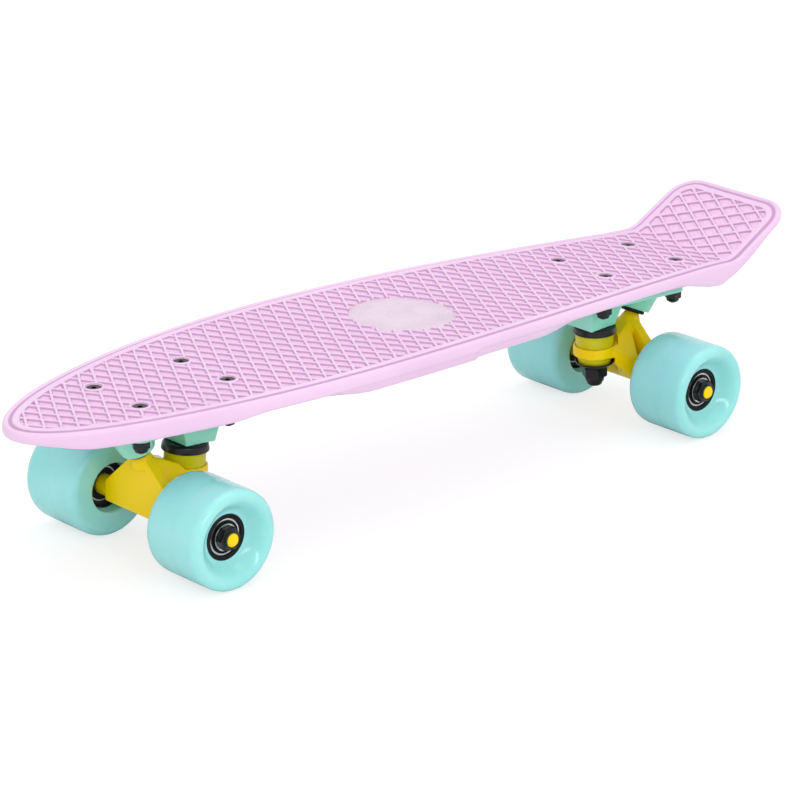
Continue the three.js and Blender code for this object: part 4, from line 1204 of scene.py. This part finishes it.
make_deck()
shapes = {
    "baseplate": baseplate(),
    "pivot_cup": pivot_cup(),
    "kingpin": kingpin(),
    "kingpin_nut": lock_nut(KINGPIN_NUT, KINGPIN_NUT_HEIGHT, KINGPIN_COLLAR, KINGPIN_COLLAR_HEIGHT, KINGPIN),
    "boardside_washer": boardside_washer(),
    "roadside_washer": roadside_washer(),
    "boardside_bushing": boardside_bushing(),
    "roadside_bushing": roadside_bushing(),
    "hanger": hanger(),
    "axle": axle_rod(),
    "mount_bolt": mount_bolt(),
    "mount_nut": lock_nut(MOUNT_NUT, MOUNT_NUT_HEIGHT, MOUNT_COLLAR, MOUNT_COLLAR_HEIGHT, BOLT_SHANK),
    "wheel": both_sides(SHOWN_SIDE, INNER_SIDE),
    "core": both_sides(CORE_SHOWN_SIDE, CORE_INNER_SIDE),
    "races": bearing_races(),
    "seal": bearing_seal(),
    "speed_washer": speed_washer(),
    "axle_nut": lock_nut(AXLE_NUT, AXLE_NUT_HEIGHT, AXLE_COLLAR, AXLE_COLLAR_HEIGHT, AXLE),
}
for end in ("front", "rear"):
    make_truck(end, shapes)


# Camera, at the photo's angle

CAMERA_AT = Vector((1394.682, 1479.182, 766.516))
AZIMUTH = math.radians(136.682)
ELEVATION = math.radians(19.45)
ROLL = math.radians(1.276)
FOCAL_PIXELS = 3581
PHOTO_PIXELS = 800
FARTHEST = 50


def make_camera():
    data = bpy.data.cameras.new("camera")
    camera = bpy.data.objects.new("camera", data)
    bpy.context.scene.collection.objects.link(camera)
    level = math.cos(ELEVATION)
    back = Vector((math.sin(AZIMUTH) * level, -math.cos(AZIMUTH) * level, math.sin(ELEVATION)))
    right = Vector((0, 0, 1)).cross(back).normalized()
    up = back.cross(right)
    leant = right * math.cos(ROLL) + up * math.sin(ROLL)
    upright = up * math.cos(ROLL) - right * math.sin(ROLL)
    turn = Matrix((leant, upright, back)).transposed().to_4x4()
    camera.matrix_world = Matrix.Translation(IN_FRAME @ CAMERA_AT) @ turn
    data.lens = data.sensor_width * FOCAL_PIXELS / PHOTO_PIXELS
    data.clip_end = FARTHEST
    bpy.context.scene.camera = camera


make_camera()


# Floor, surroundings and lamps, in metres

FLOOR_RADIUS = 30
FLOOR_DROP = 0.0002
FLOOR_TONE = (0.85, 0.85, 0.85, 1)
SEEN_FLOOR_TONE = (0.37, 0.37, 0.37, 1)
SEEN_FLOOR_GLOW = 0.69
WORLD_STRENGTH = 0.92


# The floor is lit from inside where the camera sees it, so that it comes out white and keeps the shadow.
def make_floor():
    bm = bmesh.new()
    bmesh.ops.create_circle(bm, cap_ends=True, segments=64, radius=FLOOR_RADIUS)
    mesh = bpy.data.meshes.new("floor")
    bm.to_mesh(mesh)
    bm.free()
    floor = bpy.data.objects.new("floor", mesh)
    bpy.context.scene.collection.objects.link(floor)
    floor.location.z = -FLOOR_DROP
    look = Look("studio floor", {"Roughness": 0.9, "Specular IOR Level": 0.1})
    shader = Value(look, look.shader.outputs[0])
    seen = look.node("LightPath", output="Is Camera Ray")
    look.colour(look.blended(seen, FLOOR_TONE, SEEN_FLOOR_TONE))
    glow = look.node("Emission", {}, {"Strength": seen * SEEN_FLOOR_GLOW})
    lit = look.node("AddShader", {}, {0: shader, 1: glow})
    below = look.node("NewGeometry", output="Backfacing")
    clear = look.node("BsdfTransparent")
    whole = look.node("MixShader", {}, {0: below, 1: lit, 2: clear})
    look.feed(look.tree.nodes["Material Output"].inputs["Surface"], whole)
    mesh.materials.append(look.material)


# An even white surround, at full white where the camera, gloss or clear pieces show it.
def make_surroundings():
    world = bpy.data.worlds.new("studio")
    bpy.context.scene.world = world
    world.use_nodes = True
    tree = world.node_tree
    back = tree.nodes["Background"]
    back.inputs["Color"].default_value = (1, 1, 1, 1)
    back.inputs["Strength"].default_value = WORLD_STRENGTH
    white = tree.nodes.new("ShaderNodeBackground")
    path = tree.nodes.new("ShaderNodeLightPath")
    chosen = tree.nodes.new("ShaderNodeMixShader")
    shown = path.outputs["Is Camera Ray"]
    for kind in ("Is Glossy Ray", "Is Transmission Ray"):
        either = tree.nodes.new("ShaderNodeMath")
        either.operation = "MAXIMUM"
        tree.links.new(shown, either.inputs[0])
        tree.links.new(path.outputs[kind], either.inputs[1])
        shown = either.outputs[0]
    tree.links.new(shown, chosen.inputs[0])
    tree.links.new(back.outputs[0], chosen.inputs[1])
    tree.links.new(white.outputs[0], chosen.inputs[2])
    tree.links.new(chosen.outputs[0], tree.nodes["World Output"].inputs["Surface"])


def make_lamp(name, at, target, size, power):
    data = bpy.data.lights.new(name, "AREA")
    data.shape = "RECTANGLE"
    data.size, data.size_y = size
    data.energy = power
    lamp = bpy.data.objects.new(name, data)
    bpy.context.scene.collection.objects.link(lamp)
    toward = Vector(at) - Vector(target)
    lamp.matrix_world = Matrix.Translation(at) @ toward.to_track_quat("Z", "Y").to_matrix().to_4x4()


make_floor()
make_surroundings()
make_lamp("overhead", (-0.3, 0.2, 1.9), (0, 0, 0), (2.0, 1.2), 7)
make_lamp("left_strip", (0.9, 1.5, 0.9), (0, 0, 0.05), (1.2, 0.3), 6)

bpy.context.scene.view_settings.view_transform = "Standard"
